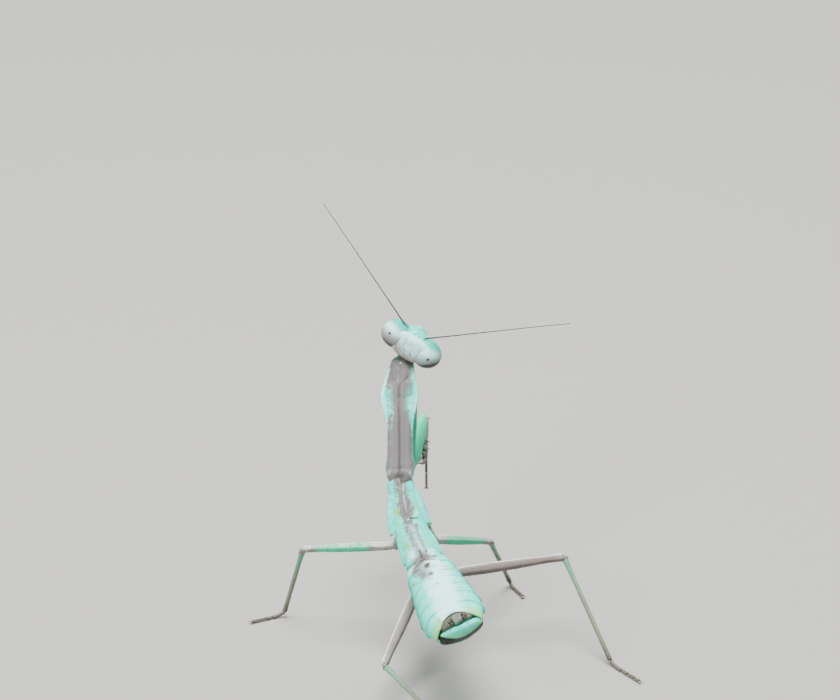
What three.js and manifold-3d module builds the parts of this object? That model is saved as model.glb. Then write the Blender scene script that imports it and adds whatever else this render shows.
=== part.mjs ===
// A praying mantis nymph standing on four legs, its front raised and its head turned to look up.
// Millimetres, +Z up, +Y the way the abdomen points forward, +X the animal's right.
import * as THREE from "three";
import Module from "manifold-3d";

const wasm = await Module();
wasm.setup();

// ---------- Driving dimensions ----------

const GAP = 0.04; // clearance left where two plates meet
const THIN = 0.25; // least radius of a leg or feeler kept as a solid
const SQUARE = 0.85; // exponent of a section a little fuller than an ellipse

// Joints along the back, each on the dorsal midline.
const WAIST = [0, 0, 8.62]; // between thorax and abdomen
const COLLAR = [-1.05, 4.95, 13.25]; // between thorax and pronotum
const SHOULDER = [0.24, 12.75, 20.95]; // front edge of the pronotum
const RUMP = [-0.53, -14.75, 10.8]; // hind edge of the last broad tergite
const ROLL = { pronotum: 10, thorax: 20.7, abdomen: 23 }; // degrees, right side lifted

// Head.
const HEAD = {
  at: [1.46, 13.03, 21.91],
  facing: [0.51, -0.113, 0.853], // the way the face looks
  crown: [-0.356, -0.93, 0.089], // the way the vertex points
  eyeAt: [1.42, 0.1, 0.2], // right eye's centre
  eye: { wide: 1.3, deep: 1.14, tall: 1.36, lean: 8 }, // half axes, and lean outward in degrees
};
// Capsule outline: height on the crown axis, half width, depth to the back, depth to the face.
const CAPSULE = [
  [-1.9, 0.8, 0.75, 0.54],
  [-1.3, 1.05, 0.95, 0.72],
  [-0.6, 1.42, 1.12, 0.86],
  [0, 1.65, 1.27, 0.84],
  [0.55, 1.7, 1.34, 0.74],
  [0.95, 1.5, 1.27, 0.6],
  [1.2, 1.3, 1.15, 0.45],
  [1.35, 0.95, 0.85, 0.2],
];
const JAWS = [
  [-1.94, 0.76, 0.7, 0.46],
  [-2.4, 0.72, 0.7, 0.44],
  [-2.9, 0.55, 0.55, 0.35],
  [-3.3, 0.25, 0.3, 0.15],
];
const NECK = { radius: 0.5, foramen: [0, -0.3, 0.75], sunk: 0.5, under: 0.72 };

// Pronotum: a waisted shield, broadest where the forelegs hang. Lengths run back from its front edge.
const PRONOTUM = {
  waist: 1.0, // half width behind the dilation
  bulge: 0.52, // what the dilation adds
  bulgeAt: 3.45,
  bulgeSpread: 1.7,
  flare: 0.16, // what the hind corners add
  flareAt: 9.6,
  flareSpread: 0.7,
  nose: 0.9, // length over which the front edge rounds in
  lean: 0.2, // how far the front edge leans to the right
  leanOver: 3.6, // length over which that fades
  heel: 10.4, // where the hind edge starts to round in
  heelLength: 1.1,
  roof: 0.42, // height of the midline over the side margins
  breast: 1.1, // depth of the prosternum under the margins
  breastLeast: 0.62, // share of that depth left at the ends
  breastAt: 3.2,
  breastSpread: 2.6,
  stations: [0, 0.3, 0.8, 1.6, 2.5, 3.3, 4.1, 5.2, 6.6, 8.2, 9.4, 10.3, 10.6, 10.9],
};

// Meso- and metathorax.
const THORAX = {
  front: 1.1, // half width under the pronotum
  rear: 1.5, // half width at the waist
  taper: 1.25, // how late the width grows towards the front
  depth: [1.79, 1.33], // under the broadest level, at waist and front
  shoulder: 0.95, // height of the back over the broadest level
  tongue: 0.25, // what slides under the pronotum
  seam: 3.43, // where the two segments meet, forward of the waist
  bow: 0.25, // sideways bend of the midline
  bowAt: 3.4,
  bowSpread: 1.9,
};

// Wing pads: how far they run along the thorax and how they wrap its side, in degrees.
const PADS = [
  { name: "fore_wing_pad", from: 6.6, to: 3.0, top: 44, bottom: -16, tip: 6, lift: 0.17, thick: 0.18 },
  { name: "hind_wing_pad", from: 2.9, to: 0.3, top: 38, bottom: -18, tip: 2, lift: 0.04, thick: 0.14 },
];
const PAD = { broadest: 0.45, root: 0.6 }; // root is the share of the width at its base

// Abdomen.
const ABDOMEN = {
  segments: 7,
  half: 2.47, // greatest half width
  broadest: 0.76, // where along its length
  base: 1.85, // half width at the waist
  end: 1.82, // half width at the hind rim
  depth: [2.62, 3.2, 2.3], // at the waist, where broadest, and at the hind rim
  crest: [0.4, 0.5], // share of the depth above the broadest level, at waist and rim
  ridge: [0.9, 1.75, 14], // section over that level, rounded at the waist, a gable at the rim; how late
  belly: [0.9, 1], // fullness of the section under it, at waist and rim
  sway: [0.02, 0.1], // how far the midline lies to the right, in front and at the rim
  swayFrom: 0.08, // share of the length over which that sets in
  arch: 0.32, // rise of the back over the straight line waist to rump
  droop: 0.21, // fall of the back behind the broadest place
  start: 0.2, // where the first free plate edge lies
  tuck: 0.07, // how far each band's front edge lies under the one before
  lip: 0.02, // how far its hind edge stands out
};

// Walking legs: hip, knee, ankle and toe tip of each.
const STANCE = {
  left_mid: [[-1.19, 4.04, 8.1], [-8.51, 7.31, 6.87], [-9.75, 9.46, 0.46], [-12.88, 8.46, 0.25]],
  right_mid: [[1.27, 3.63, 8.61], [7.02, 8.54, 5.82], [9.36, 12.06, 0.46], [10.06, 9.18, 0.25]],
  left_hind: [[0.26, 1.74, 6.09], [-4.33, -6.94, 2.98], [-0.23, -15.51, 0.46], [-1.7, -19.5, 0.25]],
  right_hind: [[2.02, 1.56, 6.41], [12.13, 3.6, 6.21], [14.37, -4.03, 0.46], [16.11, -7.92, 0.25]],
};
const COXA_ROOT = { mid: [0.75, 3.3, -1.7], hind: [0.75, 0.9, -1.9] }; // in the thorax, right side
const GIRTH = { coxa: [0.66, 0.42], tibia: [0.27, 0.3, THIN] };
const FEMUR_GIRTH = { mid: [0.35, 0.38, 0.3, 0.3], hind: [0.4, 0.44, 0.33, 0.32] };
const FOOT = { half: THIN, up: THIN + 0.02, drop: 3 }; // the foot levels out in a third of its length

// Raptorial forelegs: coxa root, trochanter, femur tip; the spined edge is turned out by twist.
const ARMS = {
  right: { root: [0.96, 11.5, 18.0], elbow: [0.8, 10.71, 11.8], wrist: [3.3, 18.2, 13.08], twist: 35 },
  left: { root: [-0.41, 11.72, 17.8], elbow: [-0.35, 10.9, 10.9], wrist: [1.3, 18.6, 13.3], twist: -8 },
};
const ARM = {
  coxa: [0.58, 0.7], // half thickness and half depth
  coxaGirth: [[0, 0.95], [0.3, 1], [0.75, 0.85], [1, 0.8]], // place along it and share of its girth
  femur: [0.46, 0.68],
  femurStations: [0, 0.06, 0.15, 0.35, 0.6, 0.85, 1],
  tibia: { length: 5.1, opening: 12, half: 0.3 }, // opening in degrees from the femur
  tibiaGirth: [[0, 0.8], [0.2, 1], [0.85, 0.85], [1, 0.75]],
  hinge: -0.25, // how far under the femur's axis the tibia turns
  claw: [[0.55, -0.3, 0.14], [0.9, -0.75, 0.05]], // length past the tibia, drop and radius
  tarsus: [-0.2, -1.2, -2.05], // from tibia end to toe tip, in world axes
};
// Rows of spines under the femur: count, from and to along it, side, length and root radius.
const FEMUR_SPINES = [
  { count: 4, from: 0.22, to: 0.6, side: 0.42, long: 0.6, radius: 0.13 },
  { count: 9, from: 0.2, to: 0.82, side: -0.38, long: 0.38, radius: 0.11 },
  { count: 3, from: 0.2, to: 0.36, side: -0.05, long: 0.85, radius: 0.13 },
];
const TIBIA_SPINES = { count: 7, from: 0.45, to: 0.95, side: 0.16, long: 0.4, radius: 0.09 };

// Antennae: where each leaves the head and which way it points, in the head's own axes.
const ANTENNA = {
  left: { socket: [-0.76, 0.3, -0.72], leave: [-0.85, 0.21, -0.48] },
  right: { socket: [0.55, 0.3, -0.76], leave: [0.68, 0.2, -0.71] },
  length: 13,
  droop: 0.5, // how far the tip hangs below a straight line
};

// Hind end: each plate as rows of distance behind the rim, half width, height, top and bottom.
const TAIL = [
  [0.04, 0.95, -0.42, -1.08],
  [0.4, 0.85, -0.36, -0.95],
  [0.75, 0.7, -0.32, -0.86],
];
const ANAL_PLATE = [
  [0.79, 0.58, -0.3, -0.78],
  [1.0, 0.52, -0.32, -0.76],
  [1.25, 0.3, -0.38, -0.72],
];
const SUBGENITAL = [
  [0.04, 1.75, -1.15, -2.15],
  [0.45, 1.65, -1.02, -1.97],
  [0.9, 1.3, -0.93, -1.75],
  [1.3, 0.65, -0.9, -1.42],
];
const CERCUS = { root: [0.6, -0.6, -0.58], tip: [0.86, -1.4, -0.42], radius: THIN };

// ---------- Colours ----------

const COLOURS = {
  mauve: 0xa9a4a4,
  mint: 0xa9ddd0,
  pale: 0xcfeae6,
  ivory: 0xd8dede,
  eye: 0xb8b0ae,
  jade: 0x6cc2a4,
  dun: 0x9d968c,
  umber: 0x6b5f4c,
};

// ---------- Helpers ----------

const rad = THREE.MathUtils.degToRad;
const vec = (p) => new THREE.Vector3(...p);
const lerp = THREE.MathUtils.lerp;
const bell = (x, centre, spread) => Math.exp(-(((x - centre) / spread) ** 2));
const power = (x, p) => Math.sign(x) * Math.abs(x) ** p;

// One cross-section standing across the local Y axis.
function ring(section, sides) {
  const { y, x = 0, z = 0, wide, up, down = up, square = 1, gable = square, floor = -Infinity } = section;
  return Array.from({ length: sides }, (_, i) => {
    const t = (2 * Math.PI * (i + 0.5)) / sides;
    const [rise, bend] = Math.sin(t) > 0 ? [up, gable] : [down, square];
    return new THREE.Vector3(
      x + wide * power(Math.cos(t), square),
      y,
      Math.max(floor, z + rise * power(Math.sin(t), bend)),
    );
  });
}

// Closed skin over a row of cross-sections, with a fan over each end.
function loft(rings) {
  const sides = rings[0].length;
  const points = rings.flat();
  const faces = [];
  for (let i = 0; i + 1 < rings.length; i++) {
    for (let j = 0; j < sides; j++) {
      const a = i * sides + j;
      const b = i * sides + ((j + 1) % sides);
      faces.push(a, a + sides, b, a + sides, b + sides, b);
    }
  }
  for (const [start, flip] of [[0, false], [(rings.length - 1) * sides, true]]) {
    const centre = points.length;
    const sum = new THREE.Vector3();
    for (let j = 0; j < sides; j++) sum.add(points[start + j]);
    points.push(sum.divideScalar(sides));
    for (let j = 0; j < sides; j++) {
      const k = start + ((j + 1) % sides);
      faces.push(centre, flip ? k : start + j, flip ? start + j : k);
    }
  }
  return outward(new THREE.BufferGeometry().setFromPoints(points).setIndex(faces));
}

// Turns a closed geometry so that its faces look out.
function outward(geometry) {
  const at = geometry.getAttribute("position");
  const index = geometry.getIndex().array;
  const corner = (i) => new THREE.Vector3().fromBufferAttribute(at, index[i]);
  let volume = 0;
  for (let i = 0; i < index.length; i += 3) {
    volume += corner(i).dot(corner(i + 1).cross(corner(i + 2)));
  }
  if (volume < 0) {
    for (let i = 0; i < index.length; i += 3) [index[i], index[i + 1]] = [index[i + 1], index[i]];
  }
  return geometry;
}

// Turning matrix with Y along the line between two points and the right side lifted by roll.
function aim(from, to, roll = 0) {
  const y = vec(to).sub(vec(from)).normalize();
  const x = y.clone().cross(new THREE.Vector3(0, 0, 1)).normalize();
  const z = x.clone().cross(y);
  const turn = new THREE.Matrix4().makeBasis(x, y, z);
  turn.multiply(new THREE.Matrix4().makeRotationY(-rad(roll)));
  return turn.setPosition(vec(from));
}

const distance = (a, b) => vec(a).distanceTo(vec(b));

// Named mesh placed by a frame matrix.
function part(name, geometry, colour, frame) {
  const material = new THREE.MeshStandardMaterial({ color: colour, roughness: 0.55 });
  const mesh = new THREE.Mesh(geometry, material);
  mesh.name = name;
  frame.decompose(mesh.position, mesh.quaternion, mesh.scale);
  mesh.updateMatrix();
  return mesh;
}

// Geometry in, manifold solid out, after the given matrix and swollen along its normals.
function solid(geometry, matrix = new THREE.Matrix4(), swell = 0) {
  const g = geometry.clone();
  g.computeVertexNormals();
  const at = g.getAttribute("position");
  const normal = g.getAttribute("normal");
  for (let i = 0; i < at.count; i++) {
    at.setXYZ(
      i,
      at.getX(i) + swell * normal.getX(i),
      at.getY(i) + swell * normal.getY(i),
      at.getZ(i) + swell * normal.getZ(i),
    );
  }
  g.applyMatrix4(matrix);
  return new wasm.Manifold(
    new wasm.Mesh({
      numProp: 3,
      vertProperties: new Float32Array(g.getAttribute("position").array),
      triVerts: new Uint32Array(g.getIndex().array),
    }),
  );
}

// Manifold solid back to geometry, keeping its largest body.
function shape(body) {
  const largest = (solids) => solids.reduce((a, b) => (b.volume() > a.volume() ? b : a));
  const mesh = largest(largest(body.decompose()).simplify(0.004).decompose()).getMesh();
  const points = new Float32Array(mesh.numVert * 3);
  for (let i = 0; i < mesh.numVert; i++) {
    points.set(mesh.vertProperties.subarray(i * mesh.numProp, i * mesh.numProp + 3), i * 3);
  }
  return new THREE.BufferGeometry()
    .setAttribute("position", new THREE.BufferAttribute(points, 3))
    .setIndex(new THREE.BufferAttribute(new Uint32Array(mesh.triVerts), 1));
}

// Cuts a placed part back so that it stands clear of its neighbours.
function fit(name, ...neighbours) {
  const mesh = parts[name];
  const toLocal = mesh.matrix.clone().invert();
  let body = solid(mesh.geometry);
  for (const other of neighbours.map((n) => parts[n])) {
    body = body.subtract(solid(other.geometry, toLocal.clone().multiply(other.matrix), GAP));
  }
  mesh.geometry = shape(body);
}

// Welds small pieces to the geometry they grow from.
function weld(geometry, pieces) {
  return shape(pieces.reduce((body, piece) => body.add(solid(piece)), solid(geometry)));
}

// A spine: a slim cone from a root towards a tip.
function spine(root, tip, radius, sides = 4) {
  const turn = aim(root, tip);
  const length = distance(root, tip);
  const rings = [ring({ y: 0, wide: radius, up: radius }, sides)];
  rings.push(ring({ y: length, wide: 0.3 * radius, up: 0.3 * radius }, sides));
  return loft(rings).applyMatrix4(turn);
}

// ---------- Trunk ----------

const parts = {};
function add(name, geometry, colour, frame) {
  parts[name] = part(name, geometry, colour, frame);
  return parts[name];
}
const frames = {
  pronotum: aim(COLLAR, SHOULDER, ROLL.pronotum),
  thorax: aim(WAIST, COLLAR, ROLL.thorax),
  abdomen: aim(RUMP, WAIST, ROLL.abdomen),
};

const pronotumLength = distance(COLLAR, SHOULDER);
function pronotumHalf(back) {
  const { waist, nose, heel, heelLength } = PRONOTUM;
  const bulge = PRONOTUM.bulge * bell(back, PRONOTUM.bulgeAt, PRONOTUM.bulgeSpread);
  const flare = PRONOTUM.flare * bell(back, PRONOTUM.flareAt, PRONOTUM.flareSpread);
  const blunt = 0.5 + 0.5 * Math.sqrt(1 - (1 - Math.min(1, back / nose)) ** 2);
  const tail = 1 - Math.max(0, (back - heel) / heelLength) ** 2;
  return (waist + bulge + flare) * blunt * tail;
}
function prothoraxRing(back) {
  const { roof, breast, breastLeast, breastAt, breastSpread } = PRONOTUM;
  const full = breastLeast + (1 - breastLeast) * bell(back, breastAt, breastSpread);
  return ring({
    y: pronotumLength - back,
    x: PRONOTUM.lean * (1 - Math.min(1, back / PRONOTUM.leanOver)) ** 2,
    z: -roof,
    wide: pronotumHalf(back),
    up: roof * Math.min(1, 0.55 + back),
    down: breast * full * Math.min(1, 0.6 + 0.5 * back),
    square: 0.9,
  }, 18);
}
add("prothorax", loft(PRONOTUM.stations.map(prothoraxRing)), COLOURS.mauve, frames.pronotum);

const thoraxLength = distance(WAIST, COLLAR);
const thoraxHalf = (y) => lerp(THORAX.rear, THORAX.front, Math.max(0, y / thoraxLength) ** THORAX.taper);
const thoraxBow = (y) => -THORAX.bow * bell(y, THORAX.bowAt, THORAX.bowSpread);
function thoraxRing(y, sides = 18) {
  return ring({
    y,
    x: thoraxBow(y),
    z: -THORAX.shoulder,
    wide: thoraxHalf(y),
    up: THORAX.shoulder,
    down: lerp(...THORAX.depth, y / thoraxLength),
    square: SQUARE,
  }, sides);
}
const span = (from, to, steps) =>
  Array.from({ length: steps + 1 }, (_, i) => lerp(from, to, i / steps));
const thoraxBlock = (from, to) => loft(span(from, to, 3).map((y) => thoraxRing(y)));
const middle = THORAX.seam + GAP / 2;
add("mesothorax", thoraxBlock(middle, thoraxLength + THORAX.tongue), COLOURS.mint, frames.thorax);
add("metathorax", thoraxBlock(0, THORAX.seam - GAP / 2), COLOURS.mint, frames.thorax);
fit("mesothorax", "prothorax");

// ---------- Abdomen ----------

const abdomenLength = distance(RUMP, WAIST);
function abdomenRing(back, grow = 0, sides = 22) {
  const t = back / abdomenLength;
  const before = Math.min(1, t / ABDOMEN.broadest);
  const after = Math.max(0, (t - ABDOMEN.broadest) / (1 - ABDOMEN.broadest));
  const wide = t < ABDOMEN.broadest
    ? lerp(ABDOMEN.base, ABDOMEN.half, before ** 1.15)
    : lerp(ABDOMEN.half, ABDOMEN.end, after ** 2.8);
  const [waistDepth, fullDepth, rimDepth] = ABDOMEN.depth;
  const swelling = lerp(waistDepth, fullDepth, Math.sin((before * Math.PI) / 2));
  const deep = lerp(swelling, rimDepth, after ** 1.6);
  const crest = lerp(...ABDOMEN.crest, t);
  const [round, peaked, late] = ABDOMEN.ridge;
  return ring({
    y: abdomenLength - back,
    x: lerp(...ABDOMEN.sway, t ** 3) * Math.min(1, t / ABDOMEN.swayFrom),
    z: ABDOMEN.arch * Math.sin(Math.PI * Math.min(1, t)) - ABDOMEN.droop * after ** 2 - crest * deep,
    wide: wide + grow,
    up: crest * deep + grow,
    down: (1 - crest) * deep + grow,
    square: lerp(...ABDOMEN.belly, t),
    gable: lerp(round, peaked, t ** late),
  }, sides);
}
const bandLength = (abdomenLength - ABDOMEN.start) / ABDOMEN.segments;
for (let i = 0; i < ABDOMEN.segments; i++) {
  const front = ABDOMEN.start + i * bandLength;
  const rings = [
    abdomenRing(front + GAP, -ABDOMEN.tuck),
    abdomenRing(front + 0.5 * bandLength),
    abdomenRing(front + bandLength, ABDOMEN.lip),
  ];
  if (i === 0) {
    const toAbdomen = frames.abdomen.clone().invert().multiply(frames.thorax);
    rings[0] = thoraxRing(-GAP, 22).map((p) => p.applyMatrix4(toAbdomen));
    rings.splice(1, 0, abdomenRing(front + 0.33 * bandLength, -ABDOMEN.tuck));
  }
  add("abdomen_" + (i + 1), loft(rings), COLOURS.pale, frames.abdomen);
}

// Plates and palps of the hind end.
function plate(rows, sides = 14) {
  return loft(rows.map(([back, wide, top, bottom]) => {
    const middle = { y: -back, x: ABDOMEN.sway[1], z: (top + bottom) / 2 };
    return ring({ ...middle, wide, up: (top - bottom) / 2, square: SQUARE }, sides);
  }));
}
add("tail_segments", plate(TAIL), COLOURS.mint, frames.abdomen);
add("supra_anal_plate", plate(ANAL_PLATE, 10), COLOURS.umber, frames.abdomen);
add("subgenital_plate", plate(SUBGENITAL, 16), COLOURS.mint, frames.abdomen);

// ---------- Wing pads ----------

const SIDES = [{ side: "left", hand: -1 }, { side: "right", hand: 1 }];
const mirrored = ([x, y, z], hand) => [x * hand, y, z];

// Crescent-shaped section of a pad wrapped round the side of the thorax.
function padRing(pad, y, hand) {
  const along = (pad.from - y) / (pad.from - pad.to);
  const taper = Math.max(0, along - PAD.broadest) / (1.05 - PAD.broadest);
  const width = Math.sqrt(1 - taper ** 2) * Math.min(1, PAD.root + 2 * along);
  const middle = lerp((pad.top + pad.bottom) / 2, pad.tip, along ** 2);
  const reach = ((pad.top - pad.bottom) / 2) * width;
  const stand = GAP + pad.lift * (1 - (1 - along) ** 2);
  const arc = (grow) => span(middle - reach, middle + reach, 4).map((degrees) => {
    const t = rad(degrees);
    return new THREE.Vector3(
      thoraxBow(y) + hand * (thoraxHalf(y) + grow) * power(Math.cos(t), SQUARE),
      y,
      -THORAX.shoulder + (THORAX.shoulder + grow) * power(Math.sin(t), SQUARE),
    );
  });
  return [...arc(stand), ...arc(stand + pad.thick).reverse()];
}
for (const pad of PADS) {
  for (const { side, hand } of SIDES) {
    const rings = span(pad.from, pad.to, 6).map((y) => padRing(pad, y, hand));
    add(side + "_" + pad.name, loft(rings), COLOURS.mint, frames.thorax);
  }
}
for (const { side, hand } of SIDES) {
  const cone = spine(mirrored(CERCUS.root, hand), mirrored(CERCUS.tip, hand), CERCUS.radius, 6);
  cone.translate(ABDOMEN.sway[1], 0, 0);
  add(side + "_cercus", cone, COLOURS.umber, frames.abdomen);
  fit(side + "_cercus", "tail_segments", "supra_anal_plate");
  fit(side + "_fore_wing_pad", "prothorax", "mesothorax", "metathorax");
  fit("abdomen_1", side + "_hind_wing_pad");
  fit("abdomen_2", side + "_hind_wing_pad");
  fit(side + "_fore_wing_pad", side + "_hind_wing_pad");
}

// ---------- Head ----------

// Head frame: X to its right, Y to the crown, Z out of its back.
const crown = vec(HEAD.crown).normalize();
const facing = vec(HEAD.facing);
facing.addScaledVector(crown, -facing.dot(crown)).normalize();
frames.head = new THREE.Matrix4()
  .makeBasis(facing.clone().cross(crown), crown, facing.clone().negate())
  .setPosition(vec(HEAD.at));
const capsuleRing = ([y, wide, back, face]) => ring({ y, wide, up: back, down: face, square: 0.82 }, 20);
add("head_capsule", loft(CAPSULE.map(capsuleRing)), COLOURS.ivory, frames.head);
add("mouthparts", loft(JAWS.map(capsuleRing)), COLOURS.pale, frames.head);
for (const { side, hand } of SIDES) {
  const { wide, deep, tall, lean } = HEAD.eye;
  const rings = span(-80, 80, 8).map((latitude) => {
    const girth = Math.cos(rad(latitude));
    return ring({ y: tall * Math.sin(rad(latitude)), wide: wide * girth, up: deep * girth }, 16);
  });
  const turn = new THREE.Matrix4().makeRotationZ(-hand * rad(lean));
  const eye = loft(rings).applyMatrix4(turn).translate(...mirrored(HEAD.eyeAt, hand));
  add(side + "_eye", eye, COLOURS.eye, frames.head);
}
fit("head_capsule", "left_eye", "right_eye", "prothorax");

// Neck, from inside the front of the prothorax to the hole in the back of the head.
const neckFrom = new THREE.Vector3(0, pronotumLength - NECK.sunk, -NECK.under).applyMatrix4(frames.pronotum);
const neckTo = vec(NECK.foramen).applyMatrix4(frames.head);
const neckFrame = aim(neckFrom.toArray(), neckTo.toArray(), ROLL.pronotum);
const neckRings = span(0, neckFrom.distanceTo(neckTo), 3).map((y) =>
  ring({ y, wide: NECK.radius, up: NECK.radius }, 12));
add("neck", loft(neckRings), COLOURS.mint, neckFrame);
fit("neck", "prothorax", "head_capsule");

for (const { side } of SIDES) {
  const root = vec(ANTENNA[side].socket);
  const leave = vec(ANTENNA[side].leave).normalize();
  const tip = root.clone().addScaledVector(leave, ANTENNA.length);
  const start = root.applyMatrix4(frames.head).toArray();
  const end = tip.applyMatrix4(frames.head).toArray();
  const rings = span(0, 1, 5).map((t) =>
    ring({ y: ANTENNA.length * t, z: -ANTENNA.droop * t * t, wide: THIN, up: THIN }, 6));
  add(side + "_antenna", loft(rings), COLOURS.umber, aim(start, end));
  fit(side + "_antenna", "head_capsule", side + "_eye");
}

// ---------- Walking legs ----------

function limb(length, radii, sides = 10) {
  const last = radii.length - 1;
  const rings = radii.map((r, i) => ring({ y: (length * i) / last, wide: r, up: r }, sides));
  return loft(rings);
}
for (const [leg, [hip, knee, ankle, toe]] of Object.entries(STANCE)) {
  const [side, pair] = leg.split("_");
  const root = vec(mirrored(COXA_ROOT[pair], side === "left" ? -1 : 1));
  const rootAt = root.applyMatrix4(frames.thorax).toArray();
  const name = (piece) => [side, pair, piece].join("_");
  add(name("coxa"), limb(distance(rootAt, hip), GIRTH.coxa), COLOURS.mauve, aim(rootAt, hip));
  add(name("femur"), limb(distance(hip, knee), FEMUR_GIRTH[pair]), COLOURS.jade, aim(hip, knee));
  add(name("tibia"), limb(distance(knee, ankle), GIRTH.tibia, 8), COLOURS.dun, aim(knee, ankle));
  const heel = [ankle[0], ankle[1], 0];
  const reach = [toe[0], toe[1], 0];
  const length = distance(heel, reach);
  const rings = span(0, 1, 5).map((t) => {
    const z = lerp(ankle[2], toe[2], Math.min(1, FOOT.drop * t));
    return ring({ y: length * t, z, wide: FOOT.half, up: FOOT.up, floor: 0 }, 8);
  });
  add(name("tarsus"), loft(rings), COLOURS.umber, aim(heel, reach));
  fit(name("coxa"), "mesothorax", "metathorax", "abdomen_1", "abdomen_2");
  fit(name("femur"), name("coxa"), "abdomen_1", "abdomen_2", "abdomen_3");
  fit(name("tibia"), name("femur"));
  fit(name("tarsus"), name("tibia"));
}

// ---------- Raptorial forelegs ----------

for (const { side, hand } of SIDES) {
  const { root, elbow, wrist, twist } = ARMS[side];
  const name = (piece) => [side, "fore", piece].join("_");
  const coxaLength = distance(root, elbow);
  const [coxaHalf, coxaDeep] = ARM.coxa;
  const coxaRings = ARM.coxaGirth.map(([t, k]) =>
    ring({ y: t * coxaLength, wide: k * coxaHalf, up: k * coxaDeep }, 12));
  add(name("coxa"), loft(coxaRings), COLOURS.jade, aim(root, elbow));

  const length = distance(elbow, wrist);
  const femurFrame = aim(elbow, wrist, twist);
  const [femurHalf, femurDeep] = ARM.femur;
  const profile = (t) => Math.min(1, 0.6 + 2 * t) * lerp(1, 0.6, Math.max(0, 2 * t - 1) ** 1.4);
  const femurRings = ARM.femurStations.map((t) =>
    ring({ y: t * length, wide: femurHalf * profile(t), up: femurDeep * profile(t) }, 12));
  const spines = FEMUR_SPINES.flatMap(({ count, from, to, side: x, long, radius }) =>
    span(from, to, count - 1).map((t) => {
      const z = -0.75 * femurDeep * profile(t);
      const foot = [0.7 * hand * x, t * length, z];
      return spine(foot, [1.25 * hand * x, t * length + 0.25, z - long], radius);
    }));
  add(name("femur"), weld(loft(femurRings), spines), COLOURS.jade, femurFrame);

  const { length: shin, opening, half } = ARM.tibia;
  const back = [0, -Math.cos(rad(opening)), -Math.sin(rad(opening))];
  const inFemur = (p) => vec(p).applyMatrix4(femurFrame).toArray();
  const hinge = [0, length, ARM.hinge];
  const shinEnd = hinge.map((w, i) => w + shin * back[i]);
  const tibiaFrame = aim(inFemur(hinge), inFemur(shinEnd), 180 - twist);
  const tibiaRings = ARM.tibiaGirth.map(([t, k]) =>
    ring({ y: t * shin, wide: 0.9 * half * k, up: half * k }, 8));
  for (const [past, drop, radius] of ARM.claw) {
    tibiaRings.push(ring({ y: shin + past, z: drop, wide: radius, up: radius }, 8));
  }
  const { count, from, to, side: out, long, radius } = TIBIA_SPINES;
  const teeth = [-out, out].flatMap((x) =>
    span(from, to, count - 1).map((t) =>
      spine([x, t * shin, -0.5 * half], [1.4 * x, t * shin + 0.25, -0.5 * half - long * t], radius)));
  add(name("tibia"), weld(loft(tibiaRings), teeth), COLOURS.umber, tibiaFrame);

  const toeRoot = vec([0, 0.93 * shin, half]).applyMatrix4(tibiaFrame).toArray();
  const toeTip = toeRoot.map((w, i) => w + ARM.tarsus[i]);
  const toe = limb(distance(toeRoot, toeTip), [THIN, THIN, THIN], 6);
  add(name("tarsus"), toe, COLOURS.umber, aim(toeRoot, toeTip));
  fit(name("coxa"), "prothorax", "neck");
  fit(name("femur"), name("coxa"));
  fit(name("tibia"), name("femur"));
  fit(name("tarsus"), name("tibia"), name("femur"));
}

// ---------- Assembly: set down with the origin under the middle of its bounding box ----------

const mantis = new THREE.Group();
mantis.name = "praying_mantis";
mantis.add(...Object.values(parts));
const bounds = new THREE.Box3().setFromObject(mantis, true);
const middleOf = bounds.getCenter(new THREE.Vector3());
mantis.position.set(-middleOf.x, -middleOf.y, -bounds.min.z);

const group = new THREE.Group();
group.add(mantis);
export default group;
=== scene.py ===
"""A praying mantis nymph as a still, life-size museum model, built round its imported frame."""

import math

import bpy
import numpy as np
from bpy.props import FloatProperty, FloatVectorProperty, PointerProperty
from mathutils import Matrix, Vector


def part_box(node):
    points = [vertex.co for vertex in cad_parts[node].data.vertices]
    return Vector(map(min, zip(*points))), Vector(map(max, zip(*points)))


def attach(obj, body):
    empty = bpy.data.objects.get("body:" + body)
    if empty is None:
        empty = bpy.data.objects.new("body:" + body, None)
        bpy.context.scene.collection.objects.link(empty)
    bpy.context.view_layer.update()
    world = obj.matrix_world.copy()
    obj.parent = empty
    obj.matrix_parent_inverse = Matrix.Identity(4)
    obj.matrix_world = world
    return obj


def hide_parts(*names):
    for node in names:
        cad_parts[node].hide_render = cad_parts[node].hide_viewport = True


bl_info = {
    "name": "Praying mantis nymph",
    "version": (1, 0, 0),
    "blender": (4, 5, 0),
    "location": "3D View > Sidebar > Mantis",
    "description": "Builds a young mantis standing on four legs, with its markings, spines and hairs",
    "category": "Add Mesh",
}

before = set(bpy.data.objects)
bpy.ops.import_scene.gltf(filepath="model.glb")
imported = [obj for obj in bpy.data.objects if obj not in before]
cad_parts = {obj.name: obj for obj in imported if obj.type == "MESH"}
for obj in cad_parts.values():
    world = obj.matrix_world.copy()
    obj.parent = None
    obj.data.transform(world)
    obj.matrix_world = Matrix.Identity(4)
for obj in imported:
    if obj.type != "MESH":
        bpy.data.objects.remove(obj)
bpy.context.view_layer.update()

MM = 0.001  # the script thinks in millimetres and hands over metres
BODY = "root"
UP = np.array([0.0, 0.0, 1.0])
HANDS = {"left": -1, "right": 1}

# ---------- Pose: the joints of the standing animal ----------

WAIST = (0.0, 0.0, 8.62)
COLLAR = (-1.05, 4.95, 13.25)
SHOULDER = (0.24, 12.75, 20.95)
RUMP = (-0.53, -14.75, 10.8)
ROLL = {"pronotum": 10, "thorax": 20.7, "abdomen": 23}

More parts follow.
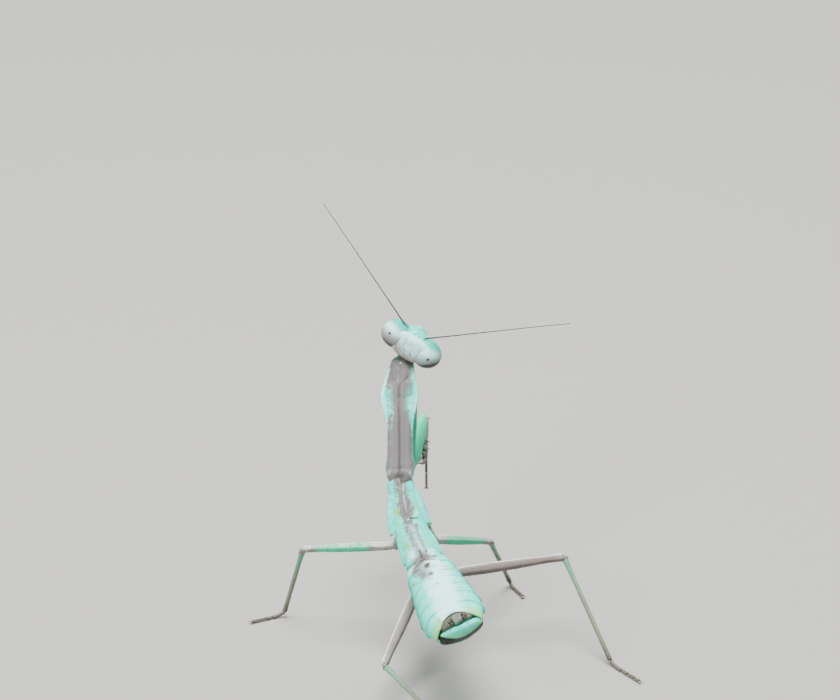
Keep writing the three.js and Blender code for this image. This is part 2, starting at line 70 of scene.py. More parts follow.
HEAD_AT = (1.46, 13.03, 21.91)
FACING = (0.51, -0.113, 0.853)
CROWN = (-0.356, -0.93, 0.089)
EYE_AT = (1.42, 0.1, 0.2)
EYE_AXES = (1.3, 1.36, 1.14)  # half width, height and depth
EYE_LEAN = math.radians(8)

# Hip, knee, ankle and toe tip of each walking leg.
STANCE = {
    "left_mid": ((-1.19, 4.04, 8.1), (-8.51, 7.31, 6.87), (-9.75, 9.46, 0.46), (-12.88, 8.46, 0.25)),
    "right_mid": ((1.27, 3.63, 8.61), (7.02, 8.54, 5.82), (9.36, 12.06, 0.46), (10.06, 9.18, 0.25)),
    "left_hind": ((0.26, 1.74, 6.09), (-4.33, -6.94, 2.98), (-0.23, -15.51, 0.46), (-1.7, -19.5, 0.25)),
    "right_hind": ((2.02, 1.56, 6.41), (12.13, 3.6, 6.21), (14.37, -4.03, 0.46), (16.11, -7.92, 0.25)),
}
COXA_ROOT = {"mid": (0.75, 3.3, -1.7), "hind": (0.75, 0.9, -1.9)}

# Root, elbow and femur tip of each foreleg, and the turn of its spined edge.
ARMS = {
    "right": ((0.96, 11.5, 18.0), (0.8, 10.71, 11.8), (3.3, 18.2, 13.08), 35),
    "left": ((-0.41, 11.72, 17.8), (-0.35, 10.9, 10.9), (1.3, 18.6, 13.3), -8),
}
TIBIA_LENGTH = 5.1
TIBIA_OPENING = math.radians(12)
FORE_TARSUS = (-0.2, -1.2, -2.05)
FORE_TARSUS_RADIUS = 0.12
FORE_TARSUS_JOINTS = (0.48, 0.18, 0.12, 0.09, 0.13)
FORE_TARSUS_CLAW = 0.3
TARSUS_RADIUS = 0.16
TARSUS_JOINTS = (0.44, 0.2, 0.13, 0.09, 0.18)

# Socket of each antenna, the way it leaves the head and the way it then runs, in the head's own axes.
ANTENNAE = {
    "left": ((-0.76, 0.3, -0.72), (-0.92, 0.02, -0.38), (-0.85, 0.21, -0.48)),
    "right": ((0.55, 0.3, -0.76), (0.77, 0.0, -0.64), (0.68, 0.2, -0.71)),
}
ANTENNA_LENGTH = 13.0

# ---------- Stage: camera, lamps, floor and air ----------

CAMERA_AT = (-59.802, -337.706, 165.001)
CAMERA_TILT = math.radians(68)
CAMERA_TURN = math.radians(-10)
FOCAL_LENGTH = 204.0
SENSOR_WIDTH = 36.0
CLIPPING = (0.01, 20.0)  # metres

FLOOR_REACH = 3.0  # metres from the middle to each edge
FLOOR_POINTS = 48  # along each edge

# Each lamp's place, what it points at and its width in metres, its power in watts and its tint.
LAMPS = {
    "sky_softbox": ((-0.04, 0.02, 0.45), (0, 0, 0.01), 0.36, 7.0, (1.0, 1.0, 1.0)),
    "front_softbox": ((-0.35, -0.35, 0.3), (0, 0, 0.01), 0.25, 2.3, (1.0, 0.98, 0.96)),
    "far_softbox": ((0.2, 0.35, 0.34), (0, 0, 0.012), 0.25, 1.05, (0.95, 1.0, 1.0)),
}
AIR_TINT = (0.82, 0.85, 0.86, 1.0)
AIR_STRENGTH = 0.16

# ---------- Small mathematics ----------


def unit(v):
    """The same directions, each of length one."""
    v = np.asarray(v, float)
    return v / np.linalg.norm(v, axis=-1, keepdims=True)


def aim(start, end, roll=0.0):
    """Frame with Y along the line, X to its right and the right side lifted by roll degrees."""
    start, end = np.asarray(start, float), np.asarray(end, float)
    y = unit(end - start)
    x = unit(np.cross(y, UP))
    turn = np.eye(4)
    c, s = math.cos(math.radians(-roll)), math.sin(math.radians(-roll))
    turn[:3, :3] = np.stack([x, y, np.cross(x, y)], 1) @ np.array([[c, 0, s], [0, 1, 0], [-s, 0, c]])
    turn[:3, 3] = start
    return turn


def place(matrix, points):
    """Points of a part's own frame, set where the frame stands."""
    points = np.asarray(points, float)
    return points @ matrix[:3, :3].T + matrix[:3, 3]


def bell(x, centre, spread):
    """A soft hump, one at its centre."""
    return np.exp(-(((x - centre) / spread) ** 2))


def step(x, start, end):
    """A soft rise from nothing at start to one at end."""
    t = np.clip((x - start) / (end - start), 0, 1)
    return t * t * (3 - 2 * t)


def power(x, p):
    """A power that keeps the sign: under one it squares a round section, over one it pinches it."""
    return np.sign(x) * np.abs(x) ** p


def mix(a, b, t):
    """The way from a to b."""
    return a + (b - a) * t


def curve(x, xs, ys):
    """Smooth line through a few points, flat where it turns."""
    xs, ys = np.asarray(xs, float), np.asarray(ys, float)
    slope = np.gradient(ys, xs)
    i = np.clip(np.searchsorted(xs, x) - 1, 0, len(xs) - 2)
    h = xs[i + 1] - xs[i]
    t = np.clip((x - xs[i]) / h, 0, 1)
    a, b = ys[i], ys[i + 1]
    return (
        (2 * t**3 - 3 * t**2 + 1) * a
        + (t**3 - 2 * t**2 + t) * h * slope[i]
        + (3 * t**2 - 2 * t**3) * b
        + (t**3 - t**2) * h * slope[i + 1]
    )


def rounded(s, length, start, end):
    """Share of its width that a limb has at s, closing in an ellipse over each end."""
    a = np.clip(s / start, 0, 1) if start else np.ones_like(s)
    b = np.clip((length - s) / end, 0, 1) if end else np.ones_like(s)
    return np.sqrt(np.clip(1 - (1 - a) ** 2, 0, 1) * np.clip(1 - (1 - b) ** 2, 0, 1))


def spaced(length, count, start, end):
    """Stations along a limb, closer together where its ends round off."""
    t = np.linspace(0, 1, count)
    s = length * t
    if start:
        s = s * (1 - (1 - t) ** 6 * 0.85)
    if end:
        s = length - (length - s) * (1 - t**6 * 0.85)
    s[0], s[-1] = 0.002, length - 0.002
    return s


# ---------- Meshes ----------


class Piece:
    """Patches of surface gathered into one mesh, with each point's own place and its markings, painted shade
    and painted highlight among them.
    """

    # Brown and the shade mark also carry painted shade on some pieces, and pale carries painted highlight.
    CHANNELS = ("mint", "brown", "pale", "yellow")

    def __init__(self):
        self.points, self.places, self.marks, self.shades, self.faces = [], [], [], [], []
        self.count = 0

    def patch(self, local, matrix=None, marks=None, places=None):
        """Adds rows of points that each run round the surface, with a fan over the first and last row."""
        rows, cols = local.shape[:2]
        flat = local.reshape(-1, 3)
        own = flat if places is None else places.reshape(-1, 3)
        values = np.zeros((rows * cols, 4))
        shade = np.zeros(rows * cols)
        for name, value in (marks or {}).items():
            value = np.broadcast_to(value, (rows, cols)).ravel()
            if name == "shade":
                shade = value
            else:
                values[:, self.CHANNELS.index(name)] = np.clip(value, 0, 1)
        i, j = np.meshgrid(np.arange(rows - 1), np.arange(cols), indexing="ij")
        k = (j + 1) % cols
        quads = np.stack([i * cols + j, (i + 1) * cols + j, (i + 1) * cols + k, i * cols + k], -1)
        quads = quads.reshape(-1, 4)
        faces = quads.tolist()
        for first, turn in ((0, 1), ((rows - 1) * cols, -1)):
            ring = np.arange(first, first + cols)
            centre = len(flat)
            flat = np.vstack([flat, flat[ring].mean(0)])
            own = np.vstack([own, own[ring].mean(0)])
            values = np.vstack([values, values[ring].mean(0)])
            shade = np.append(shade, shade[ring].mean())
            other = np.roll(ring, -turn)
            faces += np.stack([np.full(cols, centre), ring, other], -1).tolist()
        # A skin whose volume comes out negative faces inwards and is turned round.
        a, b, c = (flat[quads[:, n]] for n in (0, 1, 2))
        if np.einsum("ij,ij->", a, np.cross(b, c)) < 0:
            faces = [f[::-1] for f in faces]
        self.points.append(flat if matrix is None else place(matrix, flat))
        self.places.append(own)
        self.marks.append(values)
        self.shades.append(shade)
        self.faces += [[v + self.count for v in f] for f in faces]
        self.count += len(flat)

    def sweep(self, path, wide, deep=None, up=UP, sides=12, marks=None, ridges=None):
        """A limb along a path: half width across it, half depth along up, with optional ridges.

        Returns its rings of points and the way it runs, for the hairs that stand on it.
        """
        path = np.asarray(path, float)
        tangent = unit(np.gradient(path, axis=0))
        side = unit(np.cross(tangent, up))
        top = np.cross(side, tangent)
        t = 2 * np.pi * (np.arange(sides) + 0.5)[None, :] / sides
        s = np.append(0, np.cumsum(np.linalg.norm(np.diff(path, axis=0), axis=1)))[:, None]
        wide = np.broadcast_to(wide, len(path))[:, None]
        deep = wide if deep is None else np.broadcast_to(deep, len(path))[:, None]
        swell = 1 if ridges is None else 1 + ridges(s, t)
        x = wide * np.cos(t) * swell
        z = deep * np.sin(t) * swell
        points = path[:, None] + x[..., None] * side[:, None] + z[..., None] * top[:, None]
        places = np.stack([x, s + 0 * t, z], -1)
        worn = marks(s / s[-1], t) if callable(marks) else marks
        self.patch(points, marks=worn, places=places)
        return points, tangent

    def build(self, name, material, slot, *nodes):
        """Makes the object, in metres, and hides the imported parts of the frame that it stands for."""
        mesh = bpy.data.meshes.new(name)
        mesh.from_pydata((np.vstack(self.points) * MM).tolist(), [], self.faces)
        mesh.validate()
        mesh.shade_smooth()
        for label, kind, field, rows in (
            ("own_place", "FLOAT_VECTOR", "vector", np.vstack(self.places)),
            ("marks", "FLOAT_COLOR", "color", np.vstack(self.marks)),
            ("shade", "FLOAT", "value", np.concatenate(self.shades)),
        ):
            attribute = mesh.attributes.new(label, kind, "POINT")
            attribute.data.foreach_set(field, rows.astype(np.float32).ravel())
        mesh.materials.append(material)
        made = bpy.data.objects.new(name, mesh)
        bpy.context.scene.collection.objects.link(made)
        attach(made, BODY)
        if nodes:
            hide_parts(*nodes)
        return made


# ---------- Frames of the parts ----------


def head_frame():
    """The head's own axes: X to its right, Y to the crown and Z to the back of the head."""
    crown = unit(CROWN)
    facing = np.asarray(FACING, float)
    facing = unit(facing - crown * facing.dot(crown))
    turn = np.eye(4)
    turn[:3, :3] = np.stack([np.cross(facing, crown), crown, -facing], 1)
    turn[:3, 3] = HEAD_AT
    return turn


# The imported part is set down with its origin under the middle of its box, so the pose moves with it.
SET_DOWN = sum(np.array(corner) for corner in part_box("left_eye")) / 2 / MM
SET_DOWN = SET_DOWN - place(head_frame(), (-EYE_AT[0], EYE_AT[1], EYE_AT[2]))


def at(point):
    """A joint of the pose, moved with the part as it is set down."""
    return np.asarray(point, float) + SET_DOWN


FRAMES = {
    "pronotum": aim(at(COLLAR), at(SHOULDER), ROLL["pronotum"]),
    "thorax": aim(at(WAIST), at(COLLAR), ROLL["thorax"]),
    "abdomen": aim(at(RUMP), at(WAIST), ROLL["abdomen"]),
    "head": head_frame(),
}
FRAMES["head"][:3, 3] += SET_DOWN
SHIELD_LENGTH = 10.98  # the pronotum's skin from front to hind edge
PRONOTUM_LENGTH = float(np.linalg.norm(np.subtract(SHOULDER, COLLAR)))
THORAX_LENGTH = float(np.linalg.norm(np.subtract(COLLAR, WAIST)))
ABDOMEN_LENGTH = float(np.linalg.norm(np.subtract(WAIST, RUMP)))

# ---------- Colours and sizes a user may change ----------


def linear(text):
    """sRGB hex to linear colour."""
    parts = [int(text[i : i + 2], 16) / 255 for i in (1, 3, 5)]
    values = [c / 12.92 if c <= 0.04045 else ((c + 0.055) / 1.055) ** 2.4 for c in parts]
    return tuple(values)


def colour(name, text, description):
    """A colour that a user may change, from its sRGB hex."""
    return FloatVectorProperty(
        name=name, description=description, default=linear(text), subtype="COLOR", size=3, min=0, max=1
    )


def size(name, millimetres, description):
    """A length that a user may change."""
    return FloatProperty(
        name=name, description=description, default=millimetres * MM, unit="LENGTH", precision=6
    )


class MantisSizes(bpy.types.PropertyGroup):
    """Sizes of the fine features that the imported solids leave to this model."""

    keel: size("Keel", 0.05, "Height of the ridge along the middle of the pronotum")
    denticle: size("Denticle", 0.075, "Length of the teeth along the pronotum's margins")
    scute_lip: size("Plate lip", 0.07, "Rise of each abdominal plate towards its hind edge")
    facet: size("Eye facet", 0.05, "Pitch of the facets, drawn coarser than the real 0.03 mm so they show")
    ocellus: size("Ocellus", 0.075, "Radius of the three simple eyes")
    feeler: size("Feeler", 0.07, "Radius of the antenna's first thin joints")
    claw: size("Claw", 0.42, "Length of the claws on the walking feet")
    seta: size("Seta", 0.2, "Length of the fine hairs on legs and feelers")
    seta_girth: size("Seta girth", 0.011, "Radius of a fine hair at its root")


class MantisColours(bpy.types.PropertyGroup):
    """Colours of the living animal's cuticle; some also carry painted shade and painted highlight."""

    mauve: colour("Mauve", "#6c696a", "Ground colour of the back")
    mint: colour("Mint", "#20e4cc", "Blue-green of the flanks")
    # Pale also carries painted highlight, in part, on the front of the crown, on the upper side of the eyes
    # and on the crests of the neck's folds.
    pale: colour("Pale", "#c4fcfb", "Waxy white of the crown and the middle of the abdomen")
    yellow: colour("Yellow", "#8fd07a", "Yellow-green of the plate edges")
    # Brown also carries painted shade under the hind plate and, in part, in the neck and at the back of the
    # head.
    brown: colour("Brown", "#4d483f", "Brown of the median marks")
    dun: colour("Dun", "#857b77", "Ground colour of the hind legs")
    jade: colour("Jade", "#0cc697", "Green of the forelegs and middle femora")
    # Along the tops of the legs this pale is partly their own stripe and partly painted highlight.
    pale_and_highlight: colour("Bloom", "#d4d8d2", "Pale wax along the top of the legs")
    # Umber also carries painted shade, in part, under the legs.
    umber: colour("Umber", "#4c4a3c", "Dark brown of spines, shins and feet")
    bone: colour("Bone", "#a79a98", "Warm grey of the back of the head")
    eye: colour("Eye", "#a8a5a2", "Ground colour of the compound eyes")
    eye_mint: colour("Eye mint", "#1fbfa8", "Blue-green of the eyes' front")
    # Also the painted shade over the lower side of the eyes.
    false_pupil_and_shade: colour("False pupil", "#2b2422", "Dark spot and dark lower half of the eyes")
    feeler: colour("Feeler", "#1a2a20", "Antenna joints")
    feeler_tip: colour("Feeler tip", "#161c14", "Far joints of the antenna")
    seta: colour("Seta", "#a9ada0", "Fine hairs")
    seta_tip: colour("Seta tip", "#6f6c5e", "Darker streaks of the fine hairs")
    floor: colour("Floor", "#9b9995", "Studio floor")


# ---------- Materials ----------

# Sizes of the surface patterns in millimetres. Each texture's scale is worked out from one of them.
CLOUD = 0.9  # wide patches of pigment
MOTTLE = 0.4  # blotches of pigment
STIPPLE = 0.16  # dots of pigment, drawn coarser than the real 0.05 so they show
PIT = 0.11  # pits of the cuticle, drawn coarser than the real 0.03 so they show
PIT_DEPTH = 0.06
EYE_CLOUD = 0.3  # pigment behind the lenses
LENS_HEIGHT = 0.02
STREAK = 0.12  # growth lines of horn, drawn coarser than the real 0.02 so they show
STREAK_DEPTH = 0.02
FIBRE = 0.6  # fibres of the paper, drawn coarser than the real 0.05 so they show
FIBRE_DEPTH = 0.05

CHITIN_IOR = 1.56
CORNEA_IOR = 1.45
SPREAD = (0.9, 0.8, 0.7)  # how far red, green and blue light run under the surface


def node(tree, kind, inputs=None, give=None, **settings):
    """Adds a node with its settings, links or sets its inputs and hands over the output asked for."""
    made = tree.nodes.new(kind)
    for key, value in settings.items():
        setattr(made, key, value)
    for key, value in (inputs or {}).items():
        if isinstance(value, bpy.types.NodeSocket):
            tree.links.new(value, made.inputs[key])
        else:
            made.inputs[key].default_value = value
    return made if give is None else made.outputs[give]


def fresh(name):
    """An empty material and its node tree."""
    material = bpy.data.materials.new(name)
    material.use_nodes = True
    tree = material.node_tree
    tree.nodes.clear()
    return material, tree


def solid_colour(values):
    """The four numbers that a colour socket takes."""
    return (*values, 1.0)


def cuticle(name, ground, mint, pale, yellow, brown, roughness=0.46, pits=0.3, chalk=0.5):
    """Insect cuticle: layered chitin under a thin coat of wax, grown and hardened in place.

    The eye gets a satin surface, a fine grain of pits and markings that break up at their edges.
    """
    material, tree = fresh(name)
    own = node(tree, "ShaderNodeAttribute", give="Vector", attribute_name="own_place")
    marks = node(tree, "ShaderNodeAttribute", attribute_name="marks")
    shade = node(tree, "ShaderNodeAttribute", give="Fac", attribute_name="shade")
    parts = node(tree, "ShaderNodeSeparateColor", {"Color": marks.outputs["Color"]})
    clouds = node(tree, "ShaderNodeTexNoise", {"Vector": own, "Scale": 1 / CLOUD, "Detail": 3.0}, "Fac")
    mottle = node(tree, "ShaderNodeTexNoise", {"Vector": own, "Scale": 1 / MOTTLE, "Detail": 2.0}, "Fac")
    stipple = node(tree, "ShaderNodeTexNoise", {"Vector": own, "Scale": 1 / STIPPLE, "Detail": 4.0}, "Fac")
    grain = {"Vector": own, "Scale": 1 / PIT}
    grain = node(tree, "ShaderNodeTexVoronoi", grain, "Distance", feature="SMOOTH_F1")

    # The three noises in one, centred on nothing. It frays the edge of every marking.
    ragged = node(tree, "ShaderNodeMath", {0: clouds, 1: 0.15}, 0, operation="MULTIPLY")
    ragged = node(tree, "ShaderNodeMath", {0: mottle, 1: 0.3, 2: ragged}, 0, operation="MULTIPLY_ADD")
    ragged = node(tree, "ShaderNodeMath", {0: stipple, 1: 0.55, 2: ragged}, 0, operation="MULTIPLY_ADD")
    ragged = node(tree, "ShaderNodeMath", {0: ragged, 1: 0.5}, 0, operation="SUBTRACT")
    ragged = node(tree, "ShaderNodeMath", {0: ragged, 1: 3.2}, 0, operation="MULTIPLY")

    # Pigments over the ground: where each lies, how far it frays, and where it starts and is full.
    tone = solid_colour(ground)
    for mask, pigment, fray, low, high in (
        (parts.outputs["Red"], mint, 0.5, 0.08, 0.88),
        (parts.outputs["Blue"], pale, chalk, 0.05, 0.95),
        (marks.outputs["Alpha"], yellow, 0.9, 0.2, 0.85),
        (parts.outputs["Green"], brown, 0.6, 0.1, 0.95),
    ):
        cover = node(tree, "ShaderNodeMath", {0: ragged, 1: fray, 2: mask}, 0, operation="MULTIPLY_ADD")
        cover = {"Value": cover, "From Min": low, "From Max": high}
        cover = node(tree, "ShaderNodeMapRange", cover, 0, interpolation_type="SMOOTHSTEP")
        drawn = {"Value": mask, "From Min": 0.0, "From Max": 0.15}
        drawn = node(tree, "ShaderNodeMapRange", drawn, 0, interpolation_type="SMOOTHSTEP")
        cover = node(tree, "ShaderNodeMath", {0: cover, 1: drawn}, 0, operation="MULTIPLY")
        tone = {0: cover, 6: tone, 7: solid_colour(pigment)}
        tone = node(tree, "ShaderNodeMix", tone, 2, data_type="RGBA")

    # Darker stretches where the shade mark lies, grey pigment in some places and painted shade in others,
    # and a light fleck all over.
    dusk = node(tree, "ShaderNodeMath", {0: shade, 1: 0.6}, 0, operation="MULTIPLY")
    dusk = node(tree, "ShaderNodeMath", {0: 1.0, 1: dusk}, 0, operation="SUBTRACT")
    fleck = node(tree, "ShaderNodeMath", {0: ragged, 1: 0.22, 2: 1.0}, 0, operation="MULTIPLY_ADD")
    value = node(tree, "ShaderNodeMath", {0: dusk, 1: fleck}, 0, operation="MULTIPLY")
    tone = {0: 1.0, 6: tone, 7: value}
    tone = node(tree, "ShaderNodeMix", tone, 2, data_type="RGBA", blend_type="MULTIPLY")

    height = node(tree, "ShaderNodeMath", {0: stipple, 1: 0.5}, 0, operation="MULTIPLY")
    height = node(tree, "ShaderNodeMath", {0: grain, 1: pits, 2: height}, 0, operation="MULTIPLY_ADD")
    bump = {"Height": height, "Strength": 0.55, "Distance": PIT_DEPTH * MM}
    rough = {"Value": stipple, "From Min": 0.3, "From Max": 0.7}
    rough.update({"To Min": roughness - 0.07, "To Max": roughness + 0.1})
    shader = {
        "Base Color": tone,
        "Roughness": node(tree, "ShaderNodeMapRange", rough, 0, interpolation_type="SMOOTHSTEP"),
        "IOR": CHITIN_IOR,
        "Specular IOR Level": 0.14,
        "Subsurface Weight": 0.12,
        "Subsurface Radius": SPREAD,
        "Subsurface Scale": 0.35 * MM,
        "Normal": node(tree, "ShaderNodeBump", bump, "Normal"),
    }
    shader = node(tree, "ShaderNodeBsdfPrincipled", shader, "BSDF")
    node(tree, "ShaderNodeOutputMaterial", {"Surface": shader})
    return material


def compound_cornea(colours, pitch):
    """Compound eye: thousands of clear chitin lenses over pigment, grown in an almost even packing.

    The eye gets a soft gloss broken by facets, and a small dark false pupil where the lenses look back.
    """
    material, tree = fresh("compound_cornea")
    own = node(tree, "ShaderNodeAttribute", give="Vector", attribute_name="own_place")
    marks = node(tree, "ShaderNodeAttribute", give="Color", attribute_name="marks")
    parts = node(tree, "ShaderNodeSeparateColor", {"Color": marks})
    clouds = node(tree, "ShaderNodeTexNoise", {"Vector": own, "Scale": 1 / EYE_CLOUD, "Detail": 4.0}, "Fac")
    cells = {"Vector": own, "Scale": 1 / pitch, "Randomness": 0.35}
    cells = node(tree, "ShaderNodeTexVoronoi", cells, "Distance", feature="F1")

    # Mint over the ground, pale over that with its painted highlight, then the dapple of the facets, and the
    # dark of the false pupil with the painted shade of the lower side.
    cover = {0: clouds, 1: 1.3, 2: parts.outputs["Red"]}
    cover = node(tree, "ShaderNodeMath", cover, 0, operation="MULTIPLY_ADD")
    cover = {"Value": cover, "From Min": 0.9, "From Max": 1.45}
    cover = node(tree, "ShaderNodeMapRange", cover, 0, interpolation_type="SMOOTHSTEP")
    tone = {0: cover, 6: solid_colour(colours.eye), 7: solid_colour(colours.eye_mint)}
    tone = node(tree, "ShaderNodeMix", tone, 2, data_type="RGBA")
    tone = {0: parts.outputs["Blue"], 6: tone, 7: solid_colour(colours.pale)}
    tone = node(tree, "ShaderNodeMix", tone, 2, data_type="RGBA")
    dapple = {"Value": cells, "From Min": 0.1, "From Max": 0.7, "To Min": 1.0, "To Max": 0.93}
    dapple = node(tree, "ShaderNodeMapRange", dapple, 0, interpolation_type="SMOOTHSTEP")
    tone = {0: 1.0, 6: tone, 7: dapple}
    tone = node(tree, "ShaderNodeMix", tone, 2, data_type="RGBA", blend_type="MULTIPLY")
    tone = {0: parts.outputs["Green"], 6: tone, 7: solid_colour(colours.false_pupil_and_shade)}
    tone = node(tree, "ShaderNodeMix", tone, 2, data_type="RGBA")

    bump = {"Height": cells, "Strength": 0.25, "Distance": LENS_HEIGHT * MM}
    shader = {
        "Base Color": tone,
        "Roughness": 0.38,
        "IOR": CORNEA_IOR,
        "Specular IOR Level": 0.2,
        "Coat Weight": 0.06,
        "Coat Roughness": 0.2,
        "Subsurface Weight": 0.15,
        "Subsurface Radius": SPREAD,
        "Subsurface Scale": 0.3 * MM,
        "Normal": node(tree, "ShaderNodeBump", bump, "Normal", invert=True),
    }
    shader = node(tree, "ShaderNodeBsdfPrincipled", shader, "BSDF")
    node(tree, "ShaderNodeOutputMaterial", {"Surface": shader})
    return material


def horn(name, root, tip, roughness=0.36):
    """Chitin of spines, claws, hairs and feeler joints, hardened until no wax is left on it.

    The eye gets something darker and glossier than the plates, streaked along and darkest at the tip.
    """
    material, tree = fresh(name)
    own = node(tree, "ShaderNodeAttribute", give="Vector", attribute_name="own_place")
    marks = node(tree, "ShaderNodeAttribute", give="Color", attribute_name="marks")
    parts = node(tree, "ShaderNodeSeparateColor", {"Color": marks})
    streak = node(tree, "ShaderNodeTexNoise", {"Vector": own, "Scale": 1 / STREAK, "Detail": 3.0}, "Fac")
    tone = {0: parts.outputs["Green"], 6: solid_colour(root), 7: solid_colour(tip)}
    tone = node(tree, "ShaderNodeMix", tone, 2, data_type="RGBA")
    cover = {"Value": streak, "From Min": 0.35, "From Max": 0.75, "To Min": 0.0, "To Max": 0.3}
    cover = node(tree, "ShaderNodeMapRange", cover, 0, interpolation_type="SMOOTHSTEP")
    tone = {0: cover, 6: tone, 7: solid_colour(tip)}
    bump = {"Height": streak, "Strength": 0.3, "Distance": STREAK_DEPTH * MM}
    shader = {
        "Base Color": node(tree, "ShaderNodeMix", tone, 2, data_type="RGBA"),
        "Roughness": roughness,
        "IOR": CHITIN_IOR,
        "Normal": node(tree, "ShaderNodeBump", bump, "Normal"),
    }
    shader = node(tree, "ShaderNodeBsdfPrincipled", shader, "BSDF")
    node(tree, "ShaderNodeOutputMaterial", {"Surface": shader})
    return material


def studio_paper(tone):
    """Matt background paper, pressed smooth: an even, pale, shadow-catching floor."""
    material, tree = fresh("studio_paper")
    spot = node(tree, "ShaderNodeTexCoord", give="Object")
    fibre = {"Vector": spot, "Scale": 1 / (FIBRE * MM), "Detail": 2.0}
    fibre = node(tree, "ShaderNodeTexNoise", fibre, "Fac")
    bump = {"Height": fibre, "Strength": 0.08, "Distance": FIBRE_DEPTH * MM}
    bump = node(tree, "ShaderNodeBump", bump, "Normal")
    shader = {"Base Color": solid_colour(tone), "Roughness": 0.85, "Normal": bump}
    shader = node(tree, "ShaderNodeBsdfPrincipled", shader, "BSDF")
    node(tree, "ShaderNodeOutputMaterial", {"Surface": shader})
    return material


MATERIALS = {}


def finish_of(name):
    """The finished material of that name, made the first time it is asked for."""
    if name not in MATERIALS:
        c = bpy.context.scene.mantis_colours
        makers = {
            "trunk_cuticle": lambda: cuticle(name, c.mauve, c.mint, c.pale, c.yellow, c.brown),
            "crown_cuticle": lambda: cuticle(name, c.bone, c.mint, c.pale, c.yellow, c.brown, chalk=1.1),
            "leg_cuticle": lambda: cuticle(
                name, c.dun, c.jade, c.pale_and_highlight, c.yellow, c.umber, roughness=0.42, pits=0.2
            ),
            "compound_cornea": lambda: compound_cornea(c, bpy.context.scene.mantis_sizes.facet / MM),
            "spine_horn": lambda: horn(name, c.dun, c.umber),
            "feeler_chitin": lambda: horn(name, c.feeler, c.feeler_tip, 0.42),
            "seta_chitin": lambda: horn(name, c.seta, c.seta_tip, 0.5),
            "studio_paper": lambda: studio_paper(c.floor),
        }
        MATERIALS[name] = makers[name]()
    return MATERIALS[name]


# ---------- Shared shaping ----------


def around(count):
    """Angles round a section, from its right side over the top."""
    return (2 * np.pi * (np.arange(count) + 0.5) / count)[None, :]


def window(x, start, end, soft):
    """One between start and end, fading out over soft on both sides of each."""
    return step(x, start - soft, start + soft) * (1 - step(x, end - soft, end + soft))


def blots(u, v, rows):
    """Soft spots on two coordinates: centre, half widths and strength of each."""
    return sum(
        strength * bell(u, at_u, wide_u) * bell(v, at_v, wide_v)
        for at_u, at_v, wide_u, wide_v, strength in rows
    )


def cone(piece, root, tip, radius, bend=(0, 0, 0), marks=None, sides=6, rows=7):
    """A spine: a cone from root to tip, bent aside by bend at its middle."""
    root, tip = np.asarray(root, float), np.asarray(tip, float)
    t = np.linspace(0, 1, rows)[:, None]
    path = mix(root, tip, t) + 4 * t * (1 - t) * np.asarray(bend, float)
    radii = radius * (1 - t[:, 0] ** 1.4 * 0.93)
    along = unit(tip - root)
    up = UP if abs(along @ UP) < 0.8 else np.array([1.0, 0.0, 0.0])
    worn = marks or (lambda s, a: {"brown": step(s, 0.45, 0.95)})
    piece.sweep(path, radii, up=up, sides=sides, marks=worn)


def bulb(piece, centre, radii, matrix=None, marks=None, rows=18, cols=24):
    """A small closed dome or joint."""
    a = np.linspace(0.03, np.pi - 0.03, rows)[:, None]
    t = around(cols)
    ball = np.stack([np.sin(a) * np.cos(t), np.cos(a) + 0 * t, np.sin(a) * np.sin(t)], -1)
    piece.patch(ball * np.asarray(radii, float) + np.asarray(centre, float), matrix, marks)


BAKE_PATCH = 0.0015  # half width of a hair's patch, as a share of the whole bake
BAKE_MARGIN = 0.01

# Fine hairs noted so far: root, direction and length of each, and its place on its limb as two shares.
SETAE = {"roots": [], "ways": [], "lengths": [], "spots": []}


def bristle(points, tangent, count, length, seed, skip=0.05, lie=0.75):
    """Notes where fine hairs stand on a limb that has just been swept, to be made in one mesh later.

    The seed keeps them in the same places at every run, skip leaves the limb's ends bare and lie leans
    the hairs towards its tip.
    """
    rng = np.random.default_rng(seed)
    rows, cols = points.shape[:2]
    i = rng.integers(int(skip * rows) + 1, int((1 - skip) * rows) - 1, count)
    j = rng.integers(0, cols, count)
    centre = points[i].mean(1)
    out = unit(points[i, j] - centre)
    way = unit(out + lie * tangent[i] + rng.normal(0, 0.15, (count, 3)))
    SETAE["roots"].append(points[i, j] - 0.01 * out)
    SETAE["ways"].append(way)
    SETAE["lengths"].append(length * rng.uniform(0.6, 1.15, count))
    SETAE["spots"].append(np.stack([i / rows, j / cols], -1))


# ---------- Trunk ----------


DENTICLE_SEED = 3
RIM_LEVEL = -0.42  # height of the pronotum's side margins
SIDE_LEVEL = -0.95  # height of the thorax's widest line


def pronotum_outline(back):
    """Half width of the shield at a distance behind its front edge."""
    blunt = 0.5 + 0.5 * np.sqrt(1 - (1 - np.minimum(1, back / 0.9)) ** 2)
    tail = 1 - np.maximum(0, (back - 10.4) / 1.1) ** 2
    return (1.0 + 0.52 * bell(back, 3.45, 1.7) + 0.16 * bell(back, 9.6, 0.7)) * blunt * tail


def pronotum_lean(back):
    """How far the shield's midline lies to the right near its front edge."""
    return 0.2 * (1 - np.minimum(1, back / 3.6)) ** 2


